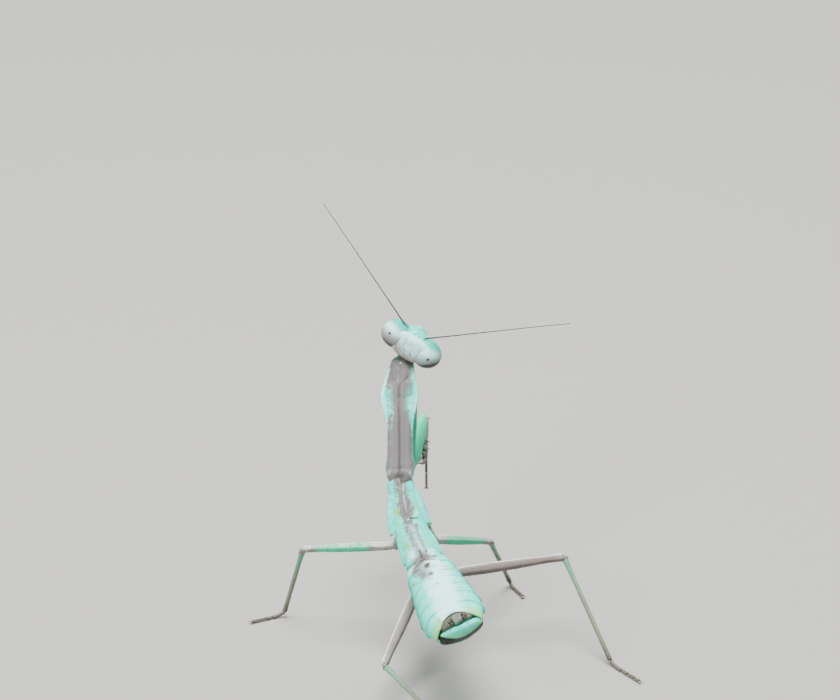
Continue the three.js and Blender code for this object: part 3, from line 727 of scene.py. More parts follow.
def make_prothorax(sizes):
    """The shield over the forebody with the breast below it, and the teeth along the shield's margins."""
    piece = Piece()
    back = spaced(SHIELD_LENGTH, 240, True, True)[:, None]
    t = around(176)
    half = pronotum_outline(back)
    over = step(np.sin(t), 0.0, 0.22)
    under = step(-np.sin(t), 0.02, 0.2)
    x = half * power(np.cos(t), 0.9) * (1 - 0.13 * under)
    rise = 0.42 * np.minimum(1, 0.55 + back)
    drop = 1.1 * (0.62 + 0.38 * bell(back, 3.2, 2.6)) * np.minimum(1, 0.6 + 0.5 * back)
    z = RIM_LEVEL + np.where(np.sin(t) > 0, rise, drop) * power(np.sin(t), 0.9)
    a = np.abs(x)
    edge = a / half
    keel = sizes.keel / MM
    # Two furrows cross the shield: the main one over the coxae and a shallow arc behind it.
    sulcus = 2.62 - 0.8 * a**1.15
    arc = 3.95 - 0.55 * np.maximum(0, a - 0.45) ** 1.3
    relief = (
        keel * bell(x, 0, 0.05) * window(back, 3.9, 10.3, 0.4)
        - 0.03 * bell(x, 0, 0.04) * window(back, 0.7, 2.5, 0.2)
        + 0.05 * bell(a, 0.42, 0.24) * bell(back, 1.5, 0.75)
        - 0.022 * bell(back, sulcus, 0.16) * (1 - step(edge, 0.55, 0.95))
        + 0.05 * bell(a, 0.8, 0.26) * bell(back, 3.1, 0.55)
        - 0.02 * bell(back, arc, 0.14) * window(a, 0.3, 1.15, 0.15)
        - 0.035 * bell(a, 0.5, 0.2) * window(back, 5.2, 9.5, 0.6)
        - 0.05 * bell(back, 9.95, 0.2) * (1 - edge**2)
        + 0.04 * bell(back, 10.4, 0.22)
        + 0.025 * bell(edge, 1.0, 0.05)
    )
    z = z + over * relief
    x = x + np.sign(x) * 0.035 * bell(z, RIM_LEVEL, 0.07)
    y = PRONOTUM_LENGTH - back - 0.3 * x**2 * np.exp(-back / 0.5)
    y = y - 0.25 * (1 - np.minimum(1, edge) ** 2) * step(back, 10.2, SHIELD_LENGTH)
    right = x > 0
    arm = 2.72 - 1.05 * x
    # Grey field on the right between the two furrows.
    quadrant = right * step(x, 0.25, 0.45) * window(back, 2.55, arc - 0.1, 0.12) * (1 - step(a, 1.05, 1.25))
    mint = over * (
        0.64 * step(edge, 0.1, 0.65) * window(back, 2.8, 5.2, 0.8) * (1 - 0.25 * quadrant)
        + 0.5 * step(edge, 0.62, 0.95) * window(back, 0.9, 6.0, 0.8)
        + 0.14 * (1 - right) * step(edge, 0.35, 0.9) * window(back, 4.6, 8.3, 1.1)
        + 0.34 * right * step(edge, 0.5, 0.9) * window(back, 4.4, 6.2, 0.8)
        + blots(back, x, ((0.12, -0.35, 0.3, 0.3, 0.4), (2.2, 1.0, 0.5, 0.2, 0.25)))
    ) + (1 - over) * 0.8
    stem = window(back, 2.6, 3.72, 0.22)
    brown = over * (
        0.85 * bell(x, 0.0, 0.21) * stem
        + 0.62 * bell(x, 0, 0.16) * window(back, 3.7, 10.2, 0.3)
        + 0.16 * bell(x, 0, 0.45) * window(back, 4.8, 10.2, 0.6)
        + 0.6 * bell(back, arm, 0.09) * window(x, 0.05, 0.7, 0.08)
        + 0.3 * quadrant
        + blots(back, x, (
            # The two blots at the right front, 0.7 and 1.05 behind the front edge, are brown with the head's
            # shadow painted into them.
            (0.29, -0.21, 0.12, 0.11, 0.8), (0.7, 0.62, 0.3, 0.32, 0.62), (1.05, 0.78, 0.3, 0.22, 0.6),
            (1.95, 0.6, 0.45, 0.22, 0.4), (2.2, -0.4, 0.3, 0.3, 0.22), (3.62, 0.02, 0.14, 0.2, 0.35),
            (10.42, 0.02, 0.3, 0.5, 0.9), (10.86, 0.0, 0.14, 0.8, 0.9),
        ))
    )
    pale = over * (
        0.34 * bell(x, -0.1, 0.03) * window(back, 1.3, 2.45, 0.2)
        + 0.55 * (1 - right) * step(edge, 0.62, 0.9) * window(back, 0.4, 3.4, 0.4)
        + 0.45 * step(edge, 0.8, 0.98) * window(back, 1.6, 6.5, 0.9)
        + 0.25 * step(edge, 0.15, 0.7) * window(back, 3.7, 5.0, 0.6) * (1 - quadrant)
        + 0.25 * step(edge, 0.85, 0.99)
        + blots(back, x, (
            (0.74, 0.02, 0.1, 0.1, 0.7), (1.0, -0.1, 0.3, 0.22, 0.12), (10.05, -0.85, 0.35, 0.15, 0.35),
            (10.15, 0.85, 0.35, 0.15, 0.35), (5.6, -0.6, 1.2, 0.2, 0.2),
        ))
    )
    yellow = over * 0.34 * right * step(edge, 0.75, 0.95) * window(back, 2.2, 4.6, 0.4)
    shade = over * (
        0.25 * right * window(back, 5.0, 9.8, 0.8)
        + 0.25 * quadrant
        + blots(back, x, (
            # The spot 0.6 behind the front edge on the right is the head's shadow, painted as shade.
            (1.7, 0.0, 0.8, 0.7, 0.08), (0.6, 0.6, 0.45, 0.5, 0.3), (10.5, 0.0, 0.35, 0.9, 0.6),
        ))
        + 0.08
    )
    marks = {"mint": mint, "brown": brown, "pale": pale, "yellow": yellow, "shade": shade}
    piece.patch(np.stack([x + pronotum_lean(back), y + 0 * t, z], -1), FRAMES["pronotum"], marks)
    # Teeth along the front two thirds of both margins.
    tooth = sizes.denticle / MM
    rng = np.random.default_rng(DENTICLE_SEED)
    for hand in (-1, 1):
        for station in np.arange(0.75, 7.4, 0.27):
            station += rng.uniform(-0.05, 0.05)
            size_here = tooth * (0.55 + 0.6 * bell(station, 3.2, 2.0)) * rng.uniform(0.8, 1.15)
            reach = float(pronotum_outline(np.array(station)))
            across = hand * (reach + 0.01) + pronotum_lean(station)
            root = np.array([across, PRONOTUM_LENGTH - station, RIM_LEVEL])
            tip = root + (hand * size_here, 0.35 * size_here, 0.0)
            ends = place(FRAMES["pronotum"], [root, tip])
            cone(piece, *ends, 0.045, marks={"pale": 1.0, "shade": 0.0}, rows=4)
    piece.build("prothorax_shield", finish_of("trunk_cuticle"), "mauve_cuticle", "prothorax")


def thorax_bow(y):
    """How far the thorax's midline lies to the left."""
    return -0.25 * bell(y, 3.4, 1.9)


def thorax_half(y):
    """Half width of the thorax, narrowing to the front."""
    return mix(1.5, 1.1, np.maximum(0, y / THORAX_LENGTH) ** 1.25)


def thorax_dash(y, x, spread):
    """A short dark furrow across the right of the middle."""
    return bell(y, 3.62 - 0.18 * x, spread) * window(x, 0.18, 0.86, 0.06)


def thorax_marks(y, x):
    """Mottling of the back: a grey band down the middle, breaking up into mint on both sides."""
    a = np.abs(x)
    band = curve(y, (0.0, 0.8, 1.6, 2.8, 3.5, 4.2, 5.4, 6.7), (0.95, 0.5, 0.4, 0.45, 0.35, 0.6, 0.45, 0.4))
    mint = 0.92 * step(a, band - 0.3, band + 0.35) - blots(y, x, (
        (4.7, -0.55, 0.35, 0.25, 0.5), (4.4, 0.6, 0.3, 0.2, 0.4),
        (6.3, -0.35, 0.35, 0.3, 0.3), (2.9, 0.5, 0.3, 0.3, 0.3),
    ))
    middle = 0.05 + 0.15 * step(y, 5.6, 6.6)
    brown = (
        0.95 * thorax_dash(y, x, 0.06)
        + 0.8 * bell(x, -0.04, 0.1) * window(y, 0.02, 0.85, 0.12)
        + 0.3 * bell(x, 0, 0.32) * window(y, 3.7, 4.6, 0.3)
        + 0.2 * bell(x, 0, 0.35) * window(y, 0.2, 6.2, 0.4)
        + blots(y, x, (
            (3.36, -0.32, 0.1, 0.22, 0.5), (3.36, 0.2, 0.14, 0.07, 0.55), (3.25, 0.0, 0.12, 0.08, 0.4),
            (6.1, -0.55, 0.16, 0.22, 0.45), (5.85, 0.72, 0.16, 0.22, 0.42), (2.4, -0.05, 0.5, 0.06, 0.35),
            (0.15, 0.55, 0.12, 0.4, 0.45), (0.15, -0.45, 0.14, 0.35, 0.5),
        ))
    )
    pale = (
        0.4 * bell(x, middle, 0.035) * window(y, 4.1, 6.7, 0.3)
        + 0.25 * bell(x, 0.1, 0.14) * window(y, 1.3, 3.0, 0.3)
        + 0.2 * bell(x, 0, 0.6) * window(y, 0.6, 3.3, 0.4)
        + 0.14
        + 0.05 * step(a, 0.95, 1.4)
        + blots(y, x, (
            (3.54, 0.05, 0.09, 0.1, 0.6), (3.95, 0.8, 0.15, 0.16, 0.7), (0.35, 0.8, 0.35, 0.3, 0.85),
            (0.6, -0.7, 0.4, 0.35, 0.8), (5.9, -0.95, 0.3, 0.2, 0.4), (0.9, 0.15, 0.4, 0.2, 0.3),
        ))
    )
    yellow = 0.22 * window(a, 0.45, 1.1, 0.2) + blots(y, x, (
        (4.5, -0.8, 0.35, 0.14, 0.7), (1.45, -0.82, 0.42, 0.26, 0.7), (1.3, 0.75, 0.38, 0.18, 0.45),
        (4.5, 0.88, 0.6, 0.15, 0.3), (3.7, -0.85, 0.3, 0.15, 0.25),
    ))
    shade = 0.05 + 0.2 * step(x, 0.8, 1.25) * step(y, 2.5, 4.0) + blots(y, x, (
        (6.75, 0.1, 0.2, 0.7, 0.3), (1.45, -0.82, 0.4, 0.25, 0.12), (4.5, -0.8, 0.35, 0.14, 0.12),
    ))
    return {"mint": mint, "brown": brown, "pale": pale, "yellow": yellow, "shade": shade}


def make_thorax(_sizes):
    """Second and third thoracic segment in one skin, grooved down the flanks."""
    piece = Piece()
    y = np.linspace(-0.12, THORAX_LENGTH + 0.3, 230)[:, None]
    t = around(168)
    over = step(np.sin(t), -0.05, 0.2)
    half = thorax_half(y)
    x = half * power(np.cos(t), 0.85)
    drop = mix(1.79, 1.33, y / THORAX_LENGTH)
    drop = drop * (1 - 0.3 * step(y, THORAX_LENGTH - 1.3, THORAX_LENGTH + 0.3))
    z = SIDE_LEVEL + np.where(np.sin(t) > 0, -SIDE_LEVEL, drop) * power(np.sin(t), 0.85)
    a = np.abs(x)
    side = 1 - over
    relief = over * (
        0.012 * step(y, 3.3, 3.6) * (1 - step(y, 3.6, 4.6))
        - 0.07 * thorax_dash(y, x, 0.05)
        + 0.025 * bell(x, 0, 0.05)
        - 0.03 * bell(a, 0.62 - 0.05 * y, 0.1) * window(y, 0.5, 6.5, 0.3)
        - 0.012 * bell(y, 3.3, 0.12)
        + 0.03 * bell(a, 0.3, 0.16) * bell(y, 2.6, 0.6)
        + 0.03 * bell(a, 0.32, 0.16) * bell(y, 5.7, 0.7)
    ) - side * (
        0.07 * bell(y, 3.3 + 0.5 * (z + 1.6), 0.11)
        + 0.05 * bell(y, 1.7 + 0.6 * (z + 1.6), 0.08)
        + 0.05 * bell(y, 5.0 + 0.4 * (z + 1.6), 0.08)
        + 0.04 * bell(x, 0, 0.08) * step(-np.sin(t), 0.5, 0.8)
    )
    x = x + relief * np.cos(t)
    z = z + relief * np.sin(t)
    marks = {name: over * value for name, value in thorax_marks(y, x).items()}
    marks["mint"] = marks["mint"] + 0.85 * side
    # Painted shade over the flanks and the underside.
    marks["shade"] = marks["shade"] + 0.2 * side
    piece.patch(np.stack([x + thorax_bow(y), y + 0 * t, z], -1), FRAMES["thorax"], marks)
    piece.build("pterothorax_plates", finish_of("trunk_cuticle"), "mint_cuticle", "mesothorax", "metathorax")


# Where each wing bud starts and ends along the thorax, the angles of its upper and lower edge and of
# its tip round the section in degrees, how far its tip stands off and how thick it is.
PADS = {
    "fore_wing_pad": (6.6, 3.0, 44, -16, 6, 0.17, 0.18),
    "hind_wing_pad": (2.9, 0.3, 38, -18, 2, 0.02, 0.1),
}


def make_wing_pads(_sizes):
    """Wing buds: sheets wrapped round the thorax that stand off at their hind tips."""
    for pad, (front, rear, top, bottom, tip, lift, thick) in PADS.items():
        for side, hand in HANDS.items():
            piece = Piece()
            along = spaced(1.0, 90, False, True)[:, None]
            along = np.clip(along, 0, 0.9985)
            y = mix(front, rear, along)
            taper = np.maximum(0, along - 0.45) / 0.6
            width = np.sqrt(1 - taper**2) * np.minimum(1, 0.6 + 2 * along)
            middle = mix((top + bottom) / 2, tip, along**2)
            reach = (top - bottom) / 2 * width
            across = np.linspace(-1, 1, 44)[None, :]
            free = step(across, 1.0, 0.1) * step(along, 0.0, 0.2)
            stand = 0.03 + lift * (1 - (1 - along) ** 2) * free
            outer = mix(-0.05, thick, step(across, 1.0, 0.2) * step(along, 0.0, 0.6)) + stand
            outer = outer + 0.01 * np.cos(9 * across + 1.5 * along) ** 6 * step(along, 0.2, 0.5)
            outer = outer - 0.12 * step(-across, 0.88, 1.0)
            sheets = []
            for grow, order in ((stand - 0.06 + 0 * across, 1), (outer, -1)):
                angle = np.radians(middle + reach * across)
                px = hand * (thorax_half(y) + grow) * power(np.cos(angle), 0.85)
                pz = SIDE_LEVEL + (grow - SIDE_LEVEL) * power(np.sin(angle), 0.85)
                sheets.append(np.stack([px, y + 0 * across, pz], -1)[:, ::order])
            points = np.concatenate(sheets, 1)
            marks = thorax_marks(y, points[..., 0])
            marks["mint"] = np.clip(marks["mint"], 0.8, 1)
            marks["yellow"] = marks["yellow"] + 0.55 * step(along, 0.93, 1.0)
            points = points + np.stack([thorax_bow(y), 0 * y, 0 * y], -1)
            piece.patch(points, FRAMES["thorax"], marks)
            node_name = side + "_" + pad
            piece.build(node_name + "_sheet", finish_of("trunk_cuticle"), "mint_cuticle", node_name)


PLATE_EDGES = (0.0, 2.25, 4.45, 7.0, 9.1, 11.2, 13.25, 14.9)  # distances behind the waist
WIDEST_AT = 0.76  # share of the abdomen's length
WIDEST = 2.47


def abdomen_ring(back, t):
    """The abdomen's section, and how far its middle lies aside and up."""
    q = back / ABDOMEN_LENGTH
    before = np.minimum(1, q / WIDEST_AT)
    after = np.clip((q - WIDEST_AT) / (1 - WIDEST_AT), 0, 1)
    wide = np.where(q < WIDEST_AT, mix(1.85, WIDEST, before**1.15), mix(WIDEST, 1.82, after**2.8))
    deep = mix(mix(2.62, 3.2, np.sin(before * np.pi / 2)), 2.3, after**1.6)
    crest = mix(0.4, 0.5, q)
    belly = mix(0.9, 1.0, q)
    above = np.sin(t) > 0
    x = wide * power(np.cos(t), belly)
    roundness = np.where(above, mix(0.9, 1.75, q**14), belly)
    z = np.where(above, crest, 1 - crest) * deep * power(np.sin(t), roundness)
    sway = mix(0.02, 0.1, q**3) * np.minimum(1, q / 0.08)
    level = 0.32 * np.sin(np.pi * np.minimum(1, q)) - 0.21 * after**2 - crest * deep
    return x, z, sway, level


def make_abdomen(sizes):
    """Seven back plates that overlap like tiles, the soft fold along the flanks and the belly plates."""
    piece = Piece()
    lip = sizes.scute_lip / MM
    # Rings of points, the same for every plate and close together at its edges. q runs along a plate.
    front, rear = (0.0, 0.015, 0.04, 0.08), (0.92, 0.95, 0.975, 0.99, 1.0)
    q = np.concatenate([front, np.linspace(0.13, 0.88, 17), rear])
    back = np.concatenate([mix(start, end, q) for start, end in zip(PLATE_EDGES, PLATE_EDGES[1:])])[:, None]
    q = np.tile(q, len(PLATE_EDGES) - 1)[:, None]
    t = around(208)
    x, z, bow, level = abdomen_ring(back, t)
    z = z * np.where(np.sin(t) < 0, 1 - 0.3 * (1 - np.clip(back / 1.5, 0, 1)) ** 2, 1)
    degrees = np.degrees(np.arcsin(np.clip(np.sin(t), -1, 1)))
    tergite = step(degrees, -20, -16)
    sternite = 1 - step(degrees, -44, -40)
    fold = 1 - tergite - sternite
    grow = tergite * (mix(-0.05, 0.03, q**1.4) - 0.02 * bell(q, 1.0, 0.02))
    grow = grow + (lip - 0.03) * tergite * step(q, 0.75, 0.97)
    grow = grow + 0.05 * step(q, 0.8, 1.0) * bell(degrees, -6, 14)
    grow = grow + sternite * (mix(-0.09, -0.01, q**1.4) + 0.02 * step(q, 0.9, 0.98))
    grow = grow - fold * (0.12 + 0.02 * np.cos(back * 14) * np.cos(degrees * 0.3))
    grow = grow + 0.02 * tergite * bell(x, 0.0, 0.08) * (1 - q**3)
    grow = grow - 0.03 * tergite * bell(q, 0.3, 0.08) * bell(np.abs(degrees - 45), 0, 20)
    grow = grow * step(back, 0.0, 0.25)
    x = x + grow * np.cos(t)
    z = z + grow * np.sin(t)
    a = np.abs(x)
    centre = 0.1 - 0.35 * step(back, 9, 14)
    near = 0.55 + 0.45 * (x < 0) * (1 - step(back, 2.5, 5.0))
    flank = step(np.abs(x - centre), near, near + 0.8)
    flank = np.maximum(flank, step(back, 4.5, 6.5) * (1 - step(back, 14.0, 14.8)))
    mint = tergite * 0.95 * flank + (1 - tergite) * 0.9
    pale = tergite * (
        1.1 * step(back, 5.0, 8.5) * bell(x, centre + 0.1, 1.0)
        + 0.95 * window(back, 1.0, 7.5, 1.0) * bell(x, 0.55, 0.8)
        + 0.5 * bell(back, 0.7, 0.7) * bell(x, -1.3, 0.4)
        + 0.14
        + 0.08 * (x > 0) * step(back, 3, 8)
    )
    left, right = x < 0, x > 0
    # Yellow-green marks: a slanting line on the left, a short one on the right, a fine one further back.
    lines = (
        left * bell(back, 5.42 + 1.85 * (x + 1.11), 0.17) * window(a, 1.05, 1.95, 0.1)
        + right * bell(back, 4.92, 0.13) * window(a, 0.85, 1.95, 0.35)
    )
    fine = right * bell(back, 8.36 - 0.8 * (x - 1.16), 0.07) * window(a, 1.1, 2.2, 0.08)
    seam = bell(q, 1.0, 0.035) * step(a, 0.8, 1.5)
    ticks = blots(back, x, (
        (8.5, -1.18, 0.3, 0.1, 0.8), (7.9, -1.05, 0.12, 0.2, 0.5), (11.3, -1.43, 0.12, 0.3, 0.5),
        (13.2, -1.32, 0.1, 0.3, 0.6), (14.3, -1.12, 0.35, 0.07, 0.9), (11.4, 1.5, 0.12, 0.3, 0.55),
        (13.3, 1.5, 0.12, 0.3, 0.55), (14.2, 1.3, 0.1, 0.3, 0.5),
    ))
    rim = step(back, 13.3, 14.9) * step(a, 0.5, 1.5)
    yellow = tergite * (1.5 * lines + 0.9 * fine + 0.35 * ticks + 0.3 * seam + 0.8 * rim)
    # Dark fork where the abdomen leaves the thorax: a fine right arm and a broad, broken left one.
    brown = tergite * (
        1.2 * bell(back, 0.15 + 1.75 * x, 0.2) * right * (1 - 0.5 * step(a, 0.3, 1.3)) * (a < 1.3)
        + 0.85 * bell(back, 0.15 - 1.0 * x, 0.3) * left * (1 - step(a, 1.1, 1.4))
        + 0.26 * window(back, 0.4, 6.0, 1.2) * bell(x, -0.2, 0.75)
        + blots(back, x, (
            (0.1, 0.0, 0.25, 0.22, 0.6), (2.55, 0.0, 0.7, 0.22, 0.9), (2.0, 0.2, 0.3, 0.12, 0.55),
            (5.0, 0.0, 0.5, 0.22, 0.75), (8.15, 0.05, 0.2, 0.16, 0.85), (4.0, -0.55, 0.6, 0.25, 0.4),
            (3.2, 0.5, 0.5, 0.2, 0.35), (6.3, -0.25, 0.4, 0.2, 0.45), (14.68, 0.0, 0.2, 0.7, 0.75),
        ))
    )
    shade = 0.06 + 0.45 * ticks + 0.35 * fine + 0.4 * lines + 0.5 * seam + 0.1 * step(a, 1.3, 2.2) * left
    # Painted shade over the soft fold and the belly plates.
    shade = tergite * shade + (1 - tergite) * 0.3
    pale = pale * (1 - 0.7 * np.clip(lines + seam + ticks, 0, 1))
    marks = {"mint": mint + 0.5 * ticks, "pale": pale, "yellow": yellow, "brown": brown, "shade": shade}
    # Hind margin of the last plate: side lobes run further back than its middle, over a thin lip.
    reach = (0.3 + 0.15 * left) * step(a, 0.9, 1.5) - 0.22 * bell(x, 0.0, 0.75)
    reach = reach * tergite * step(back, 14.2, 14.9)
    points = np.stack([x + bow, ABDOMEN_LENGTH - back - reach, z + level], -1)
    last, core = points[-1], points[-1].mean(0)
    lip_rings = ((0.05, 0.0), (0.09, 0.12), (0.13, 0.45))
    sunk = [mix(last, core, share) + (0, depth, 0) for share, depth in lip_rings]
    points = np.concatenate([points, np.stack(sunk)])
    marks = {
        name: np.concatenate([np.broadcast_to(value, a.shape), np.full((len(sunk), a.shape[1]), rest)])
        for (name, value), rest in zip(marks.items(), (0.4, 0.3, 0.45, 0.2, 0.15))
    }
    piece.patch(points, FRAMES["abdomen"], marks)
    # Soft waist that closes the fold under the first segment, with painted shade like the belly.
    waist = {"mint": 0.9, "shade": 0.25}
    bulb(piece, (0.02, ABDOMEN_LENGTH + 0.45, -1.4), (1.66, 1.6, 1.05), FRAMES["abdomen"], waist, 30, 60)
    nodes = ["abdomen_%d" % n for n in range(1, len(PLATE_EDGES))]
    piece.build("abdomen_plates", finish_of("trunk_cuticle"), "pale_cuticle", *nodes)


# Hind end: rows of distance behind the rim, half width, top and bottom of each plate.
TAIL = (
    (-0.5, 1.55, -0.3, -1.5),
    (0.02, 1.5, -0.32, -1.45),
    (0.35, 1.3, -0.4, -1.35),
    (0.72, 1.0, -0.44, -1.2),
)
ANAL_PLATE = (
    (-0.05, 0.38, -0.3, -0.85),
    (0.4, 0.42, -0.26, -0.85),
    (0.79, 0.39, -0.32, -0.85),
    (1.1, 0.26, -0.45, -0.82),
)
SUBGENITAL = (
    (-0.45, 1.88, -1.05, -2.5),
    (0.04, 1.84, -0.98, -2.42),
    (0.4, 1.7, -0.94, -2.22),
    (0.8, 1.38, -0.92, -1.92),
    (1.2, 0.75, -0.92, -1.5),
)


def tail_plate(rows, at_x, count, cols, marks, relief):
    """A plate of the hind end, through the sections that its rows give."""
    piece = Piece()
    columns = np.array(rows).T
    back = np.linspace(columns[0][0], columns[0][-1], count)
    wide, top, bottom = (curve(back, columns[0], column) for column in columns[1:])
    close = rounded(back - back[0], back[-1] - back[0], 0, 0.22)
    t = around(cols)
    close = np.maximum(close, 0.06)
    back, wide, top, bottom, close = (c[:, None] for c in (back, wide, top, bottom, close))
    x = wide * (0.35 + 0.65 * close) * power(np.cos(t), 0.85)
    z = (top + bottom) / 2 + (top - bottom) / 2 * close * power(np.sin(t), 0.85)
    z = z + relief(back, x, t)
    piece.patch(np.stack([x + at_x, -back + 0 * t, z], -1), FRAMES["abdomen"], marks(back, x, z))
    return piece


def subgenital_marks(back, x, z):
    """Mint bowl with a yellow-green seam; everything below the seam is painted dark as shade."""
    fall = 0.34 * back - z - 2.25 + np.where(x > 0.03, 0.13, 0.33) * (x - 0.03) ** 2
    # Painted shade below the seam.
    under = step(fall, -0.16, 0.06)
    return {
        "mint": 0.95 + 0 * fall,
        "pale": 0.35 * bell(x, 0.7, 0.7) * bell(fall, -0.75, 0.35),
        "yellow": 0.75 * bell(fall, -0.19, 0.07) + 0.2,
        "brown": 0.95 * under + 0.25 * bell(x, -1.3, 0.5) * bell(fall, -0.7, 0.3),
        "shade": 0.15 + 1.1 * under,
    }


def segment_marks(back, _x, _z):
    """Brown with some yellow-green, darkest along the middle seam."""
    return {
        "mint": 0.2,
        "pale": 0.1,
        "yellow": 0.35,
        "brown": 0.62 + 0.3 * bell(back, 0.35, 0.08),
        "shade": 0.2,
    }


def segment_relief(back, x, t):
    """Two narrow rings, arched across."""
    rings = bell(back, 0.08, 0.07) + bell(back, 0.42, 0.06)
    return 0.03 * step(np.sin(t), 0, 0.3) * rings - 0.38 * np.maximum(0, np.sin(t)) * (x / 1.5) ** 2


def anal_marks(_back, x, _z):
    """Brown, darker along the middle and the edges."""
    return {
        "mint": 0.12,
        "pale": 0.25,
        "yellow": 0.35,
        "brown": 0.42 + 0.3 * bell(x, 0.1, 0.06) + 0.45 * step(np.abs(x), 0.28, 0.4),
        "shade": 0.15,
    }


def anal_relief(_back, x, t):
    """A keel along the middle and a raised edge on both sides."""
    return 0.03 * step(np.sin(t), 0, 0.3) * (bell(x, 0, 0.07) + 0.6 * bell(np.abs(x), 0.34, 0.08))


def subgenital_relief(back, x, t):
    """A furrow along the middle of the underside."""
    return -0.03 * step(-np.sin(t), 0.1, 0.4) * bell(x, 0, 0.07) * step(back, 0.2, 0.6)


def make_tail(_sizes):
    """Last segments, the plates above and below the vent, and the two beaded cerci."""
    # Sections, place to the right, rows and columns, colours, relief and slot of each plate.
    for name, rows, at_x, count, cols, marks, relief, slot in (
        ("tail_segments", TAIL, 0.12, 60, 120, segment_marks, segment_relief, "mint_cuticle"),
        ("supra_anal_plate", ANAL_PLATE, 0.27, 60, 90, anal_marks, anal_relief, "umber_cuticle"),
        ("subgenital_plate", SUBGENITAL, 0.12, 90, 150, subgenital_marks, subgenital_relief, "mint_cuticle"),
    ):
        piece = tail_plate(rows, at_x, count, cols, marks, relief)
        piece.build(name + "_skin", finish_of("trunk_cuticle"), slot, name)
    for side, hand in HANDS.items():
        piece = Piece()
        root = np.array([0.28 + hand * 0.57, -0.3, -0.46])
        tip = np.array([0.28 + hand * 0.7, -1.1, -0.4])
        t = np.linspace(0, 1, 64)
        path = place(FRAMES["abdomen"], mix(root, tip, t[:, None]))
        beads = 1 - 0.18 * np.abs(np.cos(np.pi * 7 * t)) ** 6
        radii = (0.2 - 0.11 * t**1.5) * beads * rounded(t, 1, 0, 0.12).clip(0.05)
        brown = {"brown": 0.95, "yellow": 0.2, "shade": 0.3}
        limb = piece.sweep(path, radii, sides=18, marks=brown)
        bristle(*limb, 60, 0.22, 40 + hand, lie=0.9)
        piece.build(side + "_cercus_skin", finish_of("leg_cuticle"), "umber_cuticle", side + "_cercus")


# ---------- Head ----------

# Capsule outline: height on the crown axis, half width, depth to the back, depth to the face.
CAPSULE = np.array(
    [
        (-2.0, 0.74, 0.7, 0.48),
        (-1.9, 0.8, 0.75, 0.54),
        (-1.3, 1.05, 0.95, 0.72),
        (-0.6, 1.42, 1.12, 0.86),
        (0.0, 1.65, 1.27, 0.84),
        (0.55, 1.7, 1.34, 0.74),
    ]
)
DOME = 0.85  # rise of the vertex over the last row
SPOT_SEED = 11
OCELLI = ((0.0, 0.36, -0.86), (-0.2, 0.56, -0.8), (0.2, 0.56, -0.8))


def crown_groove(x, z):
    """The two pairs of furrows that part the vertex into lobes, running back and a little outward."""
    s = np.abs(x)
    return bell(s, 0.4 + 0.1 * z, 0.09), bell(s, 0.95 + 0.12 * z, 0.1)


